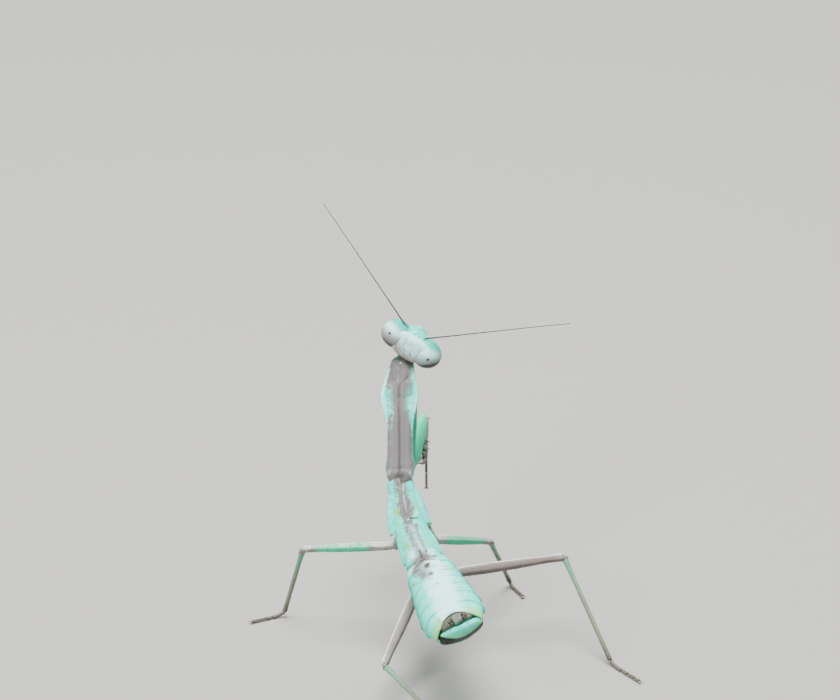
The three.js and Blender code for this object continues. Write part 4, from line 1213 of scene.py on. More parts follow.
def make_head(sizes):
    """Head capsule: a three-cornered face under a domed crown, with its furrows and three simple eyes."""
    piece = Piece()
    t = around(220)
    a = np.linspace(0.02, np.pi / 2, 110)[:, None]
    share = np.sin(a) ** 0.65
    height, *spans = CAPSULE[-1]
    top = [share * span for span in spans] + [height + DOME * np.cos(a) ** 0.48]
    y = np.linspace(0.53, -2.0, 110)[:, None]
    low = [curve(y, CAPSULE[:, 0], CAPSULE[:, c]) for c in (1, 2, 3)] + [y]
    wide, rear, face, y = (np.vstack(pair) for pair in zip(top, low))
    x = wide * power(np.cos(t), 0.82)
    z = np.where(np.sin(t) > 0, rear, face) * power(np.sin(t), 0.82)
    y = y + 0 * t
    over = step(y, 0.3, 1.0)
    front = step(-z, 0.2, 0.5) * (1 - 0.8 * step(y, 0.6, 1.1))
    s = np.abs(x)
    inner, outer = crown_groove(x, z)
    lengthwise = window(z, -0.15, 1.3, 0.35)
    relief_up = over * (
        -0.014 * inner * lengthwise
        - 0.016 * outer * lengthwise
        + 0.02 * bell(s, 0.68, 0.25) * bell(z, 0.5, 0.5)
        - 0.012 * bell(z, 1.0 - 0.2 * (s / 1.4) ** 2, 0.12)
        + 0.012 * np.sin(7.3 * x + 3 * z) * np.sin(6.1 * z - 2 * x)
    )
    sockets = 0
    for root, *_ways in ANTENNAE.values():
        far = np.hypot(x - root[0], y - root[1])
        sockets = sockets + 0.07 * bell(far, 0.17, 0.06) - 0.1 * bell(far, 0, 0.1)
    relief_out = front * (
        sockets
        + 0.12 * bell(x, 0, 0.42) * bell(y, 0.42, 0.3)
        + 0.08 * bell(x, 0, 0.55) * bell(y, -0.35, 0.35)
        - 0.05 * bell(y, -0.02 + 0.12 * (s / 0.6) ** 2, 0.05) * (1 - step(s, 0.55, 0.75))
        - 0.05 * bell(y, -0.78, 0.05) * (1 - step(s, 0.8, 1.0))
        - 0.04 * bell(s, 0.72 + 0.1 * (y + 0.4), 0.05) * window(y, -0.75, 0.0, 0.1)
        + 0.03 * bell(s, 0.28, 0.05) * window(y, -0.7, -0.1, 0.1)
        - 0.04 * bell(y, -1.45, 0.05) * (1 - step(s, 0.6, 0.8))
    )
    hollow = bell(np.hypot(x, y + 0.3), 0, 0.55) * step(z, 0.3, 0.8)
    y = y + relief_up
    z = z - relief_out - 0.25 * hollow
    crown = step(y, 0.45, 1.1)
    mint = (
        0.95 * step(-z, 0.3, 0.55) * (1 - step(y, 0.85, 1.15))
        + 0.35 * step(-y, 0.2, 1.2)
        + 0.25 * crown * step(-z, 0.4, 0.62)
    )
    # Pale over the front of the crown, fading towards the back: partly its own colour, partly painted
    # highlight.
    pale = crown * (1.0 - 0.85 * step(z, 0.0, 0.85)) + 0.25 * front * bell(x, 0.1, 0.8) * bell(y, 0.5, 0.6)
    # Faint dark spots on the crown.
    rng = np.random.default_rng(SPOT_SEED)
    spots = 0
    for _ in range(30):
        cx, cz = rng.uniform(-1.3, 1.3), rng.uniform(-0.3, 1.0)
        strength, spread = rng.uniform(0.2, 0.7), rng.uniform(0.05, 0.12)
        spots = spots + strength * bell(np.hypot((x - cx) * 1.2, z - cz), 0, spread)
    slant = bell(x, 0.22 - 0.5 * (z - 0.1), 0.12) * window(z, -0.3, 0.9, 0.2)
    # The rises towards the back of the head are partly its own colour and partly painted shade.
    shade = crown * (
        0.3 * np.clip(spots, 0, 1) + 0.08 * inner * lengthwise + 0.12 * outer * lengthwise
        + 0.1 * slant + 0.16 * step(z, 0.6, 1.25)
    ) + 0.35 * step(z, 0.8, 1.3) * (1 - crown) + 0.25 * step(-y, 0.5, 1.5)
    for root, *_ways in ANTENNAE.values():
        shade = shade + 0.5 * front * bell(np.hypot(x - root[0], y - root[1]), 0.1, 0.12)
    # Brown at the back of the crown and along its rear rim: partly its own colour, partly painted shade.
    brown = (
        0.18 * crown * step(z, 0.3, 1.1) + 0.5 * crown * step(z, 1.08, 1.3)
        + 0.55 * bell(y, 0.72 + 0.08 * np.cos(3 * x), 0.14) * step(z, 0.7, 1.0) * (1 - step(s, 1.2, 1.5))
        + 0.35 * bell(y, -0.78, 0.04) * front
        + 0.3 * hollow
    )
    yellow = 0.25 * bell(y, -1.45, 0.2) * front
    marks = {"mint": mint, "pale": pale, "brown": brown, "shade": shade, "yellow": yellow}
    piece.patch(np.stack([x, y, z], -1), FRAMES["head"], marks)
    radius = sizes.ocellus / MM
    lenses = Piece()
    for spot in OCELLI:
        rim = (radius * 1.35, radius * 1.3, radius)
        lens = (radius, radius, radius * 0.9)
        bulb(piece, np.add(spot, (0, -0.01, 0.03)), rim, FRAMES["head"], {"mint": 0.9, "shade": 0.1})
        bulb(lenses, np.add(spot, (0, 0.02, -0.05)), lens, FRAMES["head"], {"mint": 0.9})
    lenses.build("ocelli", finish_of("compound_cornea"), "compound_eye")
    piece.build("head_capsule_skin", finish_of("crown_cuticle"), "ivory_cuticle", "head_capsule")


# Where each eye's false pupil stands, in the eye's own axes.
FALSE_PUPILS = {"left": (-0.307, 1.307, -0.162), "right": (0.225, 1.334, -0.103)}


def eye_turn(hand):
    """Frame of an eye, leaning outwards from the head's own."""
    c, s = math.cos(-hand * EYE_LEAN), math.sin(-hand * EYE_LEAN)
    turn = np.eye(4)
    turn[:2, :2] = ((c, -s), (s, c))
    turn[:3, 3] = (hand * EYE_AT[0], EYE_AT[1], EYE_AT[2])
    return FRAMES["head"] @ turn


def make_eyes(_sizes):
    """Compound eyes: pale above, partly with painted highlight, painted shade below, mint in front, with a
    false pupil in each.
    """
    for side, hand in HANDS.items():
        piece = Piece()
        a = np.linspace(0.015, np.pi - 0.015, 150)[:, None]
        t = around(190)
        wide, tall, deep = EYE_AXES
        x, y, z = wide * np.sin(a) * np.cos(t), tall * np.cos(a) + 0 * t, deep * np.sin(a) * np.sin(t)
        away = np.linalg.norm(np.stack([x, y, z], -1) - FALSE_PUPILS[side], axis=-1)
        face = step(-z, 0.5, 1.05)
        # Painted shade over the side of each eye that faces down.
        low = 0.9 * z if hand < 0 else 0.62 * x + 0.78 * z
        shaded = 0.38 * step(low, -0.25, 0.45) + 0.64 * step(low, 0.34, 0.72)
        # Pale over the upper front: partly the eye's own colour, partly painted highlight, stronger on the
        # right eye.
        pale_and_highlight = 0.9 * bell(z, -0.6, 0.4) * step(y, 0.2, 0.8) + (0.1 if hand < 0 else 0.45)
        pupil = 0.97 * (1 - step(away, 0.07, 0.13)) + 0.1 * (1 - step(away, 0.1, 0.4))
        marks = {
            "mint": 1.1 * face + 0.2 * step(-y, 0.2, 1.2),
            "pale": pale_and_highlight * (1 - face) * (1 - shaded),
            "brown": pupil + shaded + 0.1 * step(-y, 0.0, 0.8),
        }
        piece.patch(np.stack([x, y, z], -1), eye_turn(hand), marks)
        piece.build(side + "_eye_globe", finish_of("compound_cornea"), "compound_eye", side + "_eye")


# Feelers of the mouth, root to tip, and their radius: four joints in the outer pair, three in the inner.
PALPS = (
    (
        (
            (0.55, -1.95, 0.25),
            (0.86, -2.05, 0.42),
            (1.02, -2.4, 0.5),
            (0.98, -2.95, 0.42),
            (0.8, -3.3, 0.24),
        ),
        0.085,
    ),
    (
        ((0.34, -2.75, 0.42), (0.5, -2.95, 0.58), (0.5, -3.25, 0.62), (0.38, -3.5, 0.52)),
        0.07,
    ),
)


def make_mouthparts(_sizes):
    """Upper lip, jaws, lower lip and the two pairs of palps."""
    piece = Piece()
    t = around(80)
    # Upper lip, a rounded flap over the jaws.
    y = spaced(1.15, 40, False, True)[:, None]
    close = rounded(y, 1.15, 0, 0.35)
    wide = (0.66 - 0.12 * y) * close + 0.02
    x = wide * power(np.cos(t), 0.8)
    z = -0.42 + 0.14 * close * power(np.sin(t), 0.8) + 0.12 * y + 0.1 * (x / 0.6) ** 2
    z = z - 0.025 * bell(x, 0, 0.05) * (np.sin(t) < 0)
    marks = {"mint": 0.6, "pale": 0.35, "shade": 0.15 + 0.2 * step(y, 0.8, 1.1)}
    piece.patch(np.stack([x, -1.92 - y + 0 * t, z], -1), FRAMES["head"], marks)
    # Lower lip and the lobes between, one soft block.
    y = spaced(1.25, 40, False, True)[:, None]
    close = rounded(y, 1.25, 0, 0.5)
    x = (0.62 - 0.18 * y) * close * power(np.cos(t), 0.85)
    z = 0.26 + 0.3 * close * power(np.sin(t), 0.85) - 0.06 * bell(x, 0, 0.05)
    marks = {"mint": 0.5, "pale": 0.2, "shade": 0.3}
    piece.patch(np.stack([x, -1.85 - y + 0 * t, z], -1), FRAMES["head"], marks)
    for hand in (-1, 1):
        # Mandible: a broad blade curving in behind the upper lip.
        s = np.linspace(0, 1, 26)
        path = np.stack([hand * (0.62 - 0.45 * s**2), -1.85 - 1.05 * s, -0.12 + 0.1 * s], -1)
        radii = (0.24 - 0.15 * s) * rounded(s, 1, 0, 0.12).clip(0.05)
        piece.sweep(
            place(FRAMES["head"], path), radii, 1.2 * radii, sides=18,
            marks=lambda s, a: {"mint": 0.3, "brown": 0.25 + 0.65 * step(s, 0.6, 1), "shade": 0.1},
        )
    for hand in (-1, 1):
        for joints, radius in PALPS:
            for start, end in zip(joints, joints[1:]):
                ends = place(FRAMES["head"], np.array([start, end]) * (hand, 1, 1))
                s = np.linspace(0, 1, 16)
                radii = radius * (0.8 + 0.25 * s) * rounded(s, 1, 0.12, 0.12).clip(0.08)
                path = mix(ends[0], ends[1], s[:, None])
                limb = piece.sweep(path, radii, sides=12, marks={"mint": 0.7, "pale": 0.4})
                bristle(*limb, 16, 0.1, 7)
    piece.build("mouthparts_skin", finish_of("trunk_cuticle"), "pale_cuticle", "mouthparts")


def make_neck(_sizes):
    """Soft neck, folded like a bellows between shield and head, with painted shade in the gap and in its
    folds and painted highlight on their crests.
    """
    piece = Piece()
    start = place(FRAMES["pronotum"], (0, PRONOTUM_LENGTH - 0.75, -0.72))
    end = place(FRAMES["head"], (0, -0.3, 0.6))
    s = np.linspace(0, 1, 90)
    folds = 2 * np.pi * 7  # seven folds over the whole length
    radii = 0.52 + 0.03 * np.cos(folds * s) + 0.06 * bell(s, 0.25, 0.2)
    middle = (start + end) / 2 + (0, 0, 0.05)
    path = mix(mix(start, middle, s[:, None]), mix(middle, end, s[:, None]), s[:, None])
    piece.sweep(
        path, radii, sides=48,
        marks=lambda s, a: {
            # Brown and shade: partly the membrane's own colour, partly painted shade of the gap; pale on the
            # crests and extra shade in the troughs of the folds are painted light.
            "mint": 0.35,
            "pale": 0.1 * np.cos(folds * s),
            "yellow": 0.3,
            "brown": 0.45,
            "shade": 0.4 - 0.2 * np.cos(folds * s),
        },
    )
    piece.build("neck_membrane", finish_of("trunk_cuticle"), "mint_cuticle", "neck")


def make_antennae(sizes):
    """Thread-like feelers of many short joints."""
    feeler = sizes.feeler / MM
    for side in HANDS:
        piece = Piece()
        root, leave, run = (np.array(v) for v in ANTENNAE[side])
        far = root + ANTENNA_LENGTH * unit(run)
        bends = place(FRAMES["head"], [root, root + 2.0 * unit(leave), root + 5.5 * unit(run), far])
        droop = aim(bends[0], bends[-1])[:3, 2]

        def thread(s):
            """The feeler's line, a curve drawn through its bends that droops to its tip."""
            q = (s / ANTENNA_LENGTH)[:, None]
            weights = ((1 - q) ** 3, 3 * q * (1 - q) ** 2, 3 * q**2 * (1 - q), q**3)
            return sum(w * b for w, b in zip(weights, bends)) - 0.4 * q**2 * droop

        # First joint thick, second a bead, then a thread of even joints that grow thinner.
        base = Piece()
        for low, high, radius in ((-0.1, 0.3, 0.105), (0.28, 0.44, 0.075)):
            s = np.linspace(low, high, 22)
            radii = radius * rounded(s - low, high - low, 0.06, 0.09).clip(0.1)
            base.sweep(thread(s), radii, sides=16, marks={"mint": 0.9, "shade": 0.35})
        base.build(side + "_antenna_base", finish_of("trunk_cuticle"), "mint_cuticle")
        joints = 84
        s = np.linspace(0.4, ANTENNA_LENGTH, joints * 4 + 1)
        q = s / ANTENNA_LENGTH
        beads = 1 - 0.16 * (np.arange(len(s)) % 4 == 0)
        radii = mix(feeler, 0.026, q**0.8) * beads
        radii[-1] = 0.006
        path = thread(s)
        limb = piece.sweep(path, radii, sides=8, marks=lambda s, a: {"brown": 0.35 + 0.5 * s})
        bristle(*limb, 420, 0.07, 5, skip=0.01, lie=1.2)
        piece.build(side + "_antenna_thread", finish_of("feeler_chitin"), "umber_cuticle", side + "_antenna")


# ---------- Legs ----------


def joint_path(start, end, count, start_round, end_round):
    """Points along one joint, their share of its length and how far its rounded ends have closed."""
    length = float(np.linalg.norm(np.subtract(end, start)))
    s = spaced(length, count, start_round, end_round)
    close = rounded(s, length, start_round, end_round).clip(0.04)
    return mix(np.asarray(start, float), np.asarray(end, float), (s / length)[:, None]), s / length, close


def clothes(green, start, end, base_pale=0.0, dark=0.0):
    """Colours along a femur: ground, then green between start and end, paler at the knee, paler along the
    top and darker underneath.
    """

    def marks(s, a):
        # Pale along the top is partly a pale stripe and partly painted highlight; brown and shade underneath
        # are painted shade, with some of the leg's own brown.
        top = step(np.sin(a), 0.15, 0.8)
        under = step(-np.sin(a), 0.0, 0.95)
        return {
            "mint": green * window(s, start, end, 0.1) + 0.25 * bell(s, 0.95, 0.06),
            "pale": (0.85 - 0.4 * green) * top
            + base_pale * (1 - step(s, start - 0.08, start + 0.08))
            + 0.3 * step(s, 0.85, 0.95),
            "brown": dark * under + 0.12 * step(s, 0.9, 1.0),
            "shade": 0.3 * under + 0.1,
        }

    return marks


def foot(piece, claws, ankle, toe, lengths, radius, up, claw, standing):
    """Five-jointed foot along a line, with a pair of claws. A standing one has a pad under each joint."""
    line = toe - ankle
    starts = np.append(0, np.cumsum(lengths)) / sum(lengths)
    for low, high in zip(starts, starts[1:]):
        s = np.linspace(low, high, 22)
        q = (s - low) / (high - low)
        close = rounded(q, 1, 0.1, 0.12).clip(0.08)
        path = ankle + line * s[:, None]
        if standing:
            path[:, 2] = np.maximum(radius * 0.98, mix(ankle[2], radius * 0.98, np.minimum(1, s / 0.3)))
        close = np.maximum(close, 0.9 * (q < 0.5)) if low == 0 else close
        thick = radius * (0.82 + 0.18 * q**2) * close
        limb = piece.sweep(
            path, thick, thick * 1.02, up=up, sides=16,
            marks=lambda s, a: {"mint": 0.08, "brown": 0.5 + 0.45 * step(s, 0.8, 1.0), "shade": 0.25},
        )
        bristle(*limb, 22, 0.1, int(1000 * high), lie=1.1)
        if standing:
            pad = path[-3] - unit(up) * radius * 0.45
            pad[2] = radius * 0.5
            pad_radii = (radius * 0.75, radius * 0.9, radius * 0.48)
            bulb(piece, pad, pad_radii, marks={"pale": 0.5, "brown": 0.2})
    along = unit(line)
    side = unit(np.cross(along, up))
    tip = ankle + line
    if standing:
        tip[2] = radius
    for hand in (-1, 1):
        out = unit(along + hand * 0.75 * side)
        root = tip - along * 0.05 + hand * side * 0.05
        point = root + out * claw
        if standing:
            point[2] = 0.03
        cone(claws, root, point, 0.05, bend=unit(up) * claw * 0.22, rows=9)
    bulb(piece, tip + along * 0.04, (0.09, 0.09, 0.07), marks={"pale": 0.3, "brown": 0.3})


# Colours of each walking leg's femur.
WALKERS = {
    "left_mid": clothes(0.95, 0.28, 0.83, base_pale=0.35),
    "right_mid": clothes(1.0, 0.17, 0.84, base_pale=0.35),
    "left_hind": clothes(0.0, 0.1, 0.9, dark=0.25),
    "right_hind": clothes(0.0, 0.1, 0.9, base_pale=0.15, dark=0.4),
}


def make_walking_legs(sizes):
    """The four standing legs: hip, trochanter, ribbed femur, hairy shin with two spurs, and foot."""
    for number, (leg, joints) in enumerate(STANCE.items()):
        side, pair = leg.split("_")
        hand = HANDS[side]
        hip, knee, ankle, toe = (at(p) for p in joints)
        root = place(FRAMES["thorax"], np.array(COXA_ROOT[pair]) * (hand, 1, 1))
        piece, claws = Piece(), Piece()
        up = unit(knee - ankle)
        # Hip joint, held close under the thorax.
        path, s, close = joint_path(root, hip + 0.12 * unit(hip - root), 44, 0.3, 0.35)
        radii = mix(0.62, 0.42, s) * close * (1 + 0.05 * np.cos(s * 9))
        piece.sweep(
            path, radii, 1.08 * radii, sides=36,
            marks=lambda s, a: {
                "mint": 0.3,
                # Paler on the upper side: partly the joint's own colour, partly painted highlight.
                "pale": 0.3 * step(np.sin(a), 0, 0.8),
                "brown": 0.4 * step(s, 0.9, 1.0),
                "shade": 0.15,
            },
            ridges=lambda s, a: 0.05 * np.cos(3 * a),
        )
        # Trochanter ring and femur.
        along = unit(knee - hip)
        path, s, close = joint_path(hip - 0.25 * along, hip + 0.55 * along, 26, 0.25, 0.2)
        marks = {"mint": 0.25, "brown": 0.25, "pale": 0.2, "shade": 0.2}
        piece.sweep(path, 0.36 * close, 0.39 * close, up=up, sides=28, marks=marks)
        path, s, close = joint_path(hip + 0.3 * along, knee + 0.08 * along, 120, 0.2, 0.3)
        girth = curve(s, (0, 0.06, 0.22, 0.6, 0.9, 0.97, 1), (0.3, 0.36, 0.41, 0.38, 0.3, 0.32, 0.3))
        if pair == "mid":
            girth = girth * 0.9
        limb = piece.sweep(
            path, 0.92 * girth * close, 1.04 * girth * close, up=up, sides=40, marks=WALKERS[leg],
            ridges=lambda s, a: 0.05 * np.cos(5 * (a - np.pi / 2)) - 0.05 * bell(a, np.pi / 2 + 0.62, 0.12)
            - 0.05 * bell(a, np.pi / 2 - 0.62, 0.12),
        )
        bristle(*limb, 420, sizes.seta / MM * 0.55, 100 + number)
        # Lobes that flank the knee.
        across = unit(np.cross(along, up))
        for k in (-1, 1):
            lobe = knee + k * 0.19 * across - 0.08 * up
            path, s, close = joint_path(lobe - 0.3 * along, lobe + 0.24 * along - 0.12 * up, 16, 0.15, 0.12)
            marks = {"pale": 0.1, "mint": 0.2, "brown": 0.4}
            piece.sweep(path, 0.08 * close, 0.17 * close, up=up, sides=14, marks=marks)
        # Shin, with its two end spurs.
        down = unit(ankle - knee)
        shin_up = along - down * (along @ down)
        path, s, close = joint_path(knee - 0.1 * down, ankle + 0.05 * down, 110, 0.15, 0.12)
        girth = curve(s, (0, 0.05, 0.12, 0.5, 0.93, 1), (0.17, 0.22, 0.19, 0.165, 0.17, 0.185))
        olive = 0.25 if pair == "mid" else 0.12
        limb = piece.sweep(
            path, girth * close, girth * 1.06 * close, up=shin_up, sides=26,
            marks=lambda s, a: {
                "mint": olive + 0.35 * (1 - step(s, 0.1, 0.6)),
                "yellow": 0.3,
                # Paler on top and browner underneath: partly the shin's own colour, partly painted highlight
                # and painted shade.
                "pale": 0.3 * step(np.sin(a), 0.3, 0.9) * (1 - s),
                "brown": 0.32 + 0.3 * step(s, 0.75, 1.0) + 0.15 * step(-np.sin(a), 0, 0.8),
                "shade": 0.15,
            },
            ridges=lambda s, a: 0.05 * np.cos(4 * a),
        )
        bristle(*limb, 520, sizes.seta / MM * 0.8, 200 + number)
        line = toe - ankle
        beside = unit(np.cross(line, UP))
        for k in (-1, 1):
            start = ankle + k * 0.1 * beside - 0.1 * down
            spur = 0.38 * unit(line * (1, 1, 0)) + (0, 0, -0.16) + k * 0.1 * beside
            cone(claws, start, start + spur, 0.045)
        # Foot, lying on the floor.
        ankle_low = ankle.copy()
        ankle_low[2] = 0.36
        toe_low = toe.copy() - unit(line) * 0.3
        toe_low[2] = TARSUS_RADIUS
        foot(piece, claws, ankle_low, toe_low, TARSUS_JOINTS, TARSUS_RADIUS, UP, sizes.claw / MM, True)
        nodes = ["_".join((side, pair, part)) for part in ("coxa", "femur", "tibia", "tarsus")]
        slot = "jade_cuticle" if pair == "mid" else "dun_cuticle"
        piece.build(leg + "_leg_skin", finish_of("leg_cuticle"), slot, *nodes)
        claws.build(leg + "_leg_claws", finish_of("spine_horn"), "umber_cuticle")


def femur_profile(s):
    """Share of its depth that a foreleg's femur has along its length."""
    return np.minimum(1, 0.62 + 2 * s) * mix(1, 0.62, np.maximum(0, 2 * s - 1) ** 1.4)


def make_forelegs(sizes):
    """The grasping legs, folded: toothed coxa, deep spined femur, hooked tibia and thin foot."""
    for side, hand in HANDS.items():
        root, elbow, wrist, twist = ARMS[side]
        root, elbow, wrist = at(root), at(elbow), at(wrist)
        piece, spines = Piece(), Piece()
        # Coxa: a long three-edged column, toothed along its front edge.
        along = unit(elbow - root)
        forward = np.array([0.0, 1.0, 0.0])
        path, s, close = joint_path(root - 0.2 * along, elbow + 0.1 * along, 110, 0.35, 0.4)
        girth = curve(s, (0, 0.1, 0.35, 0.75, 0.93, 1), (0.9, 1.0, 1.02, 0.82, 0.86, 0.8))
        limb = piece.sweep(
            path, 0.53 * girth * close, 0.65 * girth * close, up=forward, sides=44,
            marks=lambda s, a: {
                "mint": 0.85,
                # Paler on top, partly painted highlight; the shade underneath is painted shade.
                "pale": 0.3 * step(np.sin(a), 0.2, 0.9) + 0.25 * bell(s, 0.96, 0.05),
                "shade": 0.2 * step(-np.sin(a), 0, 0.6),
            },
            ridges=lambda s, a: 0.06 * np.cos(3 * (a - np.pi / 2)),
        )
        bristle(*limb, 240, sizes.seta / MM * 0.5, 300 + hand)
        for q in np.linspace(0.15, 0.85, 9):
            depth = 0.56 * float(np.interp(q, (0, 0.35, 0.9), (0.9, 1.0, 0.84)))
            start = mix(root, elbow, q) + forward * depth
            cone(spines, start, start + forward * 0.16 + along * 0.07, 0.05, rows=5)
        # Trochanter, between coxa and femur.
        frame_here = aim(elbow, wrist, twist)
        length = float(np.linalg.norm(wrist - elbow))
        way, dorsal, across = frame_here[:3, 1], frame_here[:3, 2], frame_here[:3, 0]
        path, s, close = joint_path(elbow - 0.3 * way, elbow + 0.8 * way, 34, 0.35, 0.3)
        marks = {"mint": 0.7, "pale": 0.2, "brown": 0.1, "shade": 0.15}
        piece.sweep(path, 0.38 * close, 0.46 * close, up=dorsal, sides=30, marks=marks)
        # Femur: deep and keeled above, channelled below between its rows of spines.
        path, s, close = joint_path(elbow + 0.25 * way, wrist + 0.15 * way, 130, 0.4, 0.35)
        profile = femur_profile(s)
        limb = piece.sweep(
            path, 0.45 * profile * close, 0.66 * profile * close, up=dorsal, sides=56,
            marks=lambda s, a: {
                "mint": 1.0 - 0.35 * step(s, 0.86, 1.0),
                "pale": 0.35 * bell(s, 0.94, 0.07) + 0.3 * bell(s, 0.78, 0.08) * step(np.sin(a), 0.3, 1.0),
                "yellow": 0.15 * step(-np.sin(a), 0.3, 0.9),
                "brown": 0.3 * step(-np.sin(a), 0.75, 1.0) * window(s, 0.15, 0.9, 0.1)
                + 0.35 * step(s, 0.975, 1.0),
                # Painted shade along the underside.
                "shade": 0.2 * step(-np.sin(a), 0.0, 0.8),
            },
            ridges=lambda s, a: 0.05 * bell(a, np.pi / 2, 0.25) - 0.1 * bell(a, 1.5 * np.pi, 0.3)
            + 0.04 * bell(a, 1.5 * np.pi + 0.55, 0.14) + 0.04 * bell(a, 1.5 * np.pi - 0.55, 0.14),
        )
        bristle(*limb, 420, sizes.seta / MM * 0.5, 320 + hand)

        def femur_spine(q, x, long, radius):
            """A spine under the femur: its share along, its share to the side, its length and radius."""
            here = femur_profile(q)
            base = (0.62 * x * here, q * length, -0.5 * here)
            tip = (base[0] * 1.25, q * length + 0.3, base[2] - long)
            cone(spines, *place(frame_here, [base, tip]), radius, bend=0.06 * way, rows=8)

        # Four long spines outside, thirteen uneven ones inside and four between them.
        for q in (0.24, 0.36, 0.48, 0.6):
            femur_spine(q, hand * 0.5, 0.72, 0.085)
        for number, q in enumerate(np.linspace(0.22, 0.86, 13)):
            femur_spine(q, -hand * 0.45, 0.46 if number % 2 else 0.28, 0.06)
        for q, long in ((0.2, 0.45), (0.27, 0.8), (0.34, 0.62), (0.41, 0.4)):
            femur_spine(q, -hand * 0.06, long, 0.08)
        # Lobes that flank the tip, each with a short spine.
        for k in (-1, 1):
            lobe = place(frame_here, (k * 0.2, length + 0.02, -0.2))
            path, s, close = joint_path(lobe - 0.35 * way, lobe + 0.18 * way, 16, 0.15, 0.15)
            marks = {"mint": 0.5, "pale": 0.6}
            piece.sweep(path, 0.09 * close, 0.2 * close, up=dorsal, sides=14, marks=marks)
            ends = place(frame_here, [(k * 0.24, length - 0.1, -0.3), (k * 0.3, length + 0.1, -0.62)])
            cone(spines, *ends, 0.05, rows=6)
        # Tibia folded back under the femur, with two rows of spines that grow longer to its end.
        shin_way = -way * math.cos(TIBIA_OPENING) - dorsal * math.sin(TIBIA_OPENING)
        hinge = place(frame_here, (0, length, -0.25))
        end = hinge + shin_way * TIBIA_LENGTH
        inner = unit(dorsal - shin_way * (dorsal @ shin_way))
        path, s, close = joint_path(hinge - 0.15 * shin_way, end + 0.1 * shin_way, 90, 0.25, 0.15)
        girth = curve(s, (0, 0.15, 0.6, 0.92, 1), (0.2, 0.26, 0.25, 0.24, 0.2))
        limb = piece.sweep(
            path, 0.85 * girth * close, 1.05 * girth * close, up=inner, sides=30,
            marks=lambda s, a: {
                "mint": 0.35,
                "yellow": 0.3,
                "brown": 0.25 + 0.45 * step(s, 0.4, 1.0),
                "shade": 0.15,
            },
        )
        bristle(*limb, 260, sizes.seta / MM * 0.5, 340 + hand)
        for k, count in ((-1, 12), (1, 9)):
            for number, q in enumerate(np.linspace(0.3, 0.95, count)):
                start = hinge + shin_way * TIBIA_LENGTH * q + inner * 0.17 + k * across * 0.13
                long = 0.2 + 0.32 * number / count
                tip = start + inner * long + shin_way * 0.55 * long + k * across * 0.06
                cone(spines, start, tip, 0.05, rows=6)
        # Hooked claw at the tibia's end.
        s = np.linspace(0, 1, 30)
        hook = end[None] + np.outer(1.15 * s, shin_way) + np.outer(0.95 * s**2.2, inner)
        radii = 0.19 * (1 - 0.94 * s**1.3)
        spines.sweep(hook, radii, up=across, sides=14, marks=lambda s, a: {"brown": 0.3 + 0.65 * s})
        # Foot, carried thin and free from the shin's far end.
        ankle = hinge + shin_way * TIBIA_LENGTH * 0.93 - inner * 0.2
        toe = ankle + np.array(FORE_TARSUS)
        joints, radius = FORE_TARSUS_JOINTS, FORE_TARSUS_RADIUS
        foot(piece, spines, ankle, toe, joints, radius, forward, FORE_TARSUS_CLAW, False)
        nodes = ["_".join((side, "fore", part)) for part in ("coxa", "femur", "tibia", "tarsus")]
        piece.build(side + "_foreleg_skin", finish_of("leg_cuticle"), "jade_cuticle", *nodes)
        spines.build(side + "_foreleg_spines", finish_of("spine_horn"), "umber_cuticle")


def make_setae(sizes):
    """Fine hairs, each a three-sided cone, all in one mesh."""
    roots, ways = np.vstack(SETAE["roots"]), np.vstack(SETAE["ways"])
    lengths, spots = np.concatenate(SETAE["lengths"]), np.vstack(SETAE["spots"])
    girth = sizes.seta_girth / MM
    side = unit(np.cross(ways, np.where(np.abs(ways[:, 2:]) < 0.9, UP, (1.0, 0.0, 0.0))))
    other = np.cross(ways, side)
    turn = 2 * np.pi * np.arange(3) / 3
    rim = np.cos(turn)[None, :, None] * side[:, None] + np.sin(turn)[None, :, None] * other[:, None]
    base = roots[:, None] + girth * rim
    tips = roots + ways * lengths[:, None]
    points = np.concatenate([base, tips[:, None]], 1).reshape(-1, 3)
    start = 4 * np.arange(len(roots))[:, None]
    corners = ((0, 1, 3), (1, 2, 3), (2, 0, 3), (2, 1, 0))
    faces = np.concatenate([start + np.array(corner) for corner in corners]).tolist()
    piece = Piece()
    piece.points, piece.faces = [points], faces
    piece.places = [points - np.repeat(roots, 4, 0)]
    piece.marks, piece.shades = [np.zeros((len(points), 4))], [np.zeros(len(points))]
    hairs = piece.build("setae", finish_of("seta_chitin"), "dun_cuticle")
    # Each hair gets a tiny patch of its own to be baked on, where its root stands on its limb.
    uv = hairs.data.uv_layers.new(name="OFBake")
    corner = np.zeros(len(hairs.data.loops), np.int32)
    hairs.data.loops.foreach_get("vertex_index", corner)
    offsets = BAKE_PATCH * np.array([(-1, -1), (1, -1), (0, 1), (0, 0)])
    patch = BAKE_MARGIN + (1 - 2 * BAKE_MARGIN) * spots[corner // 4] + offsets[corner % 4]
    uv.data.foreach_set("uv", patch.astype(np.float32).ravel())


# ---------- Stage ----------


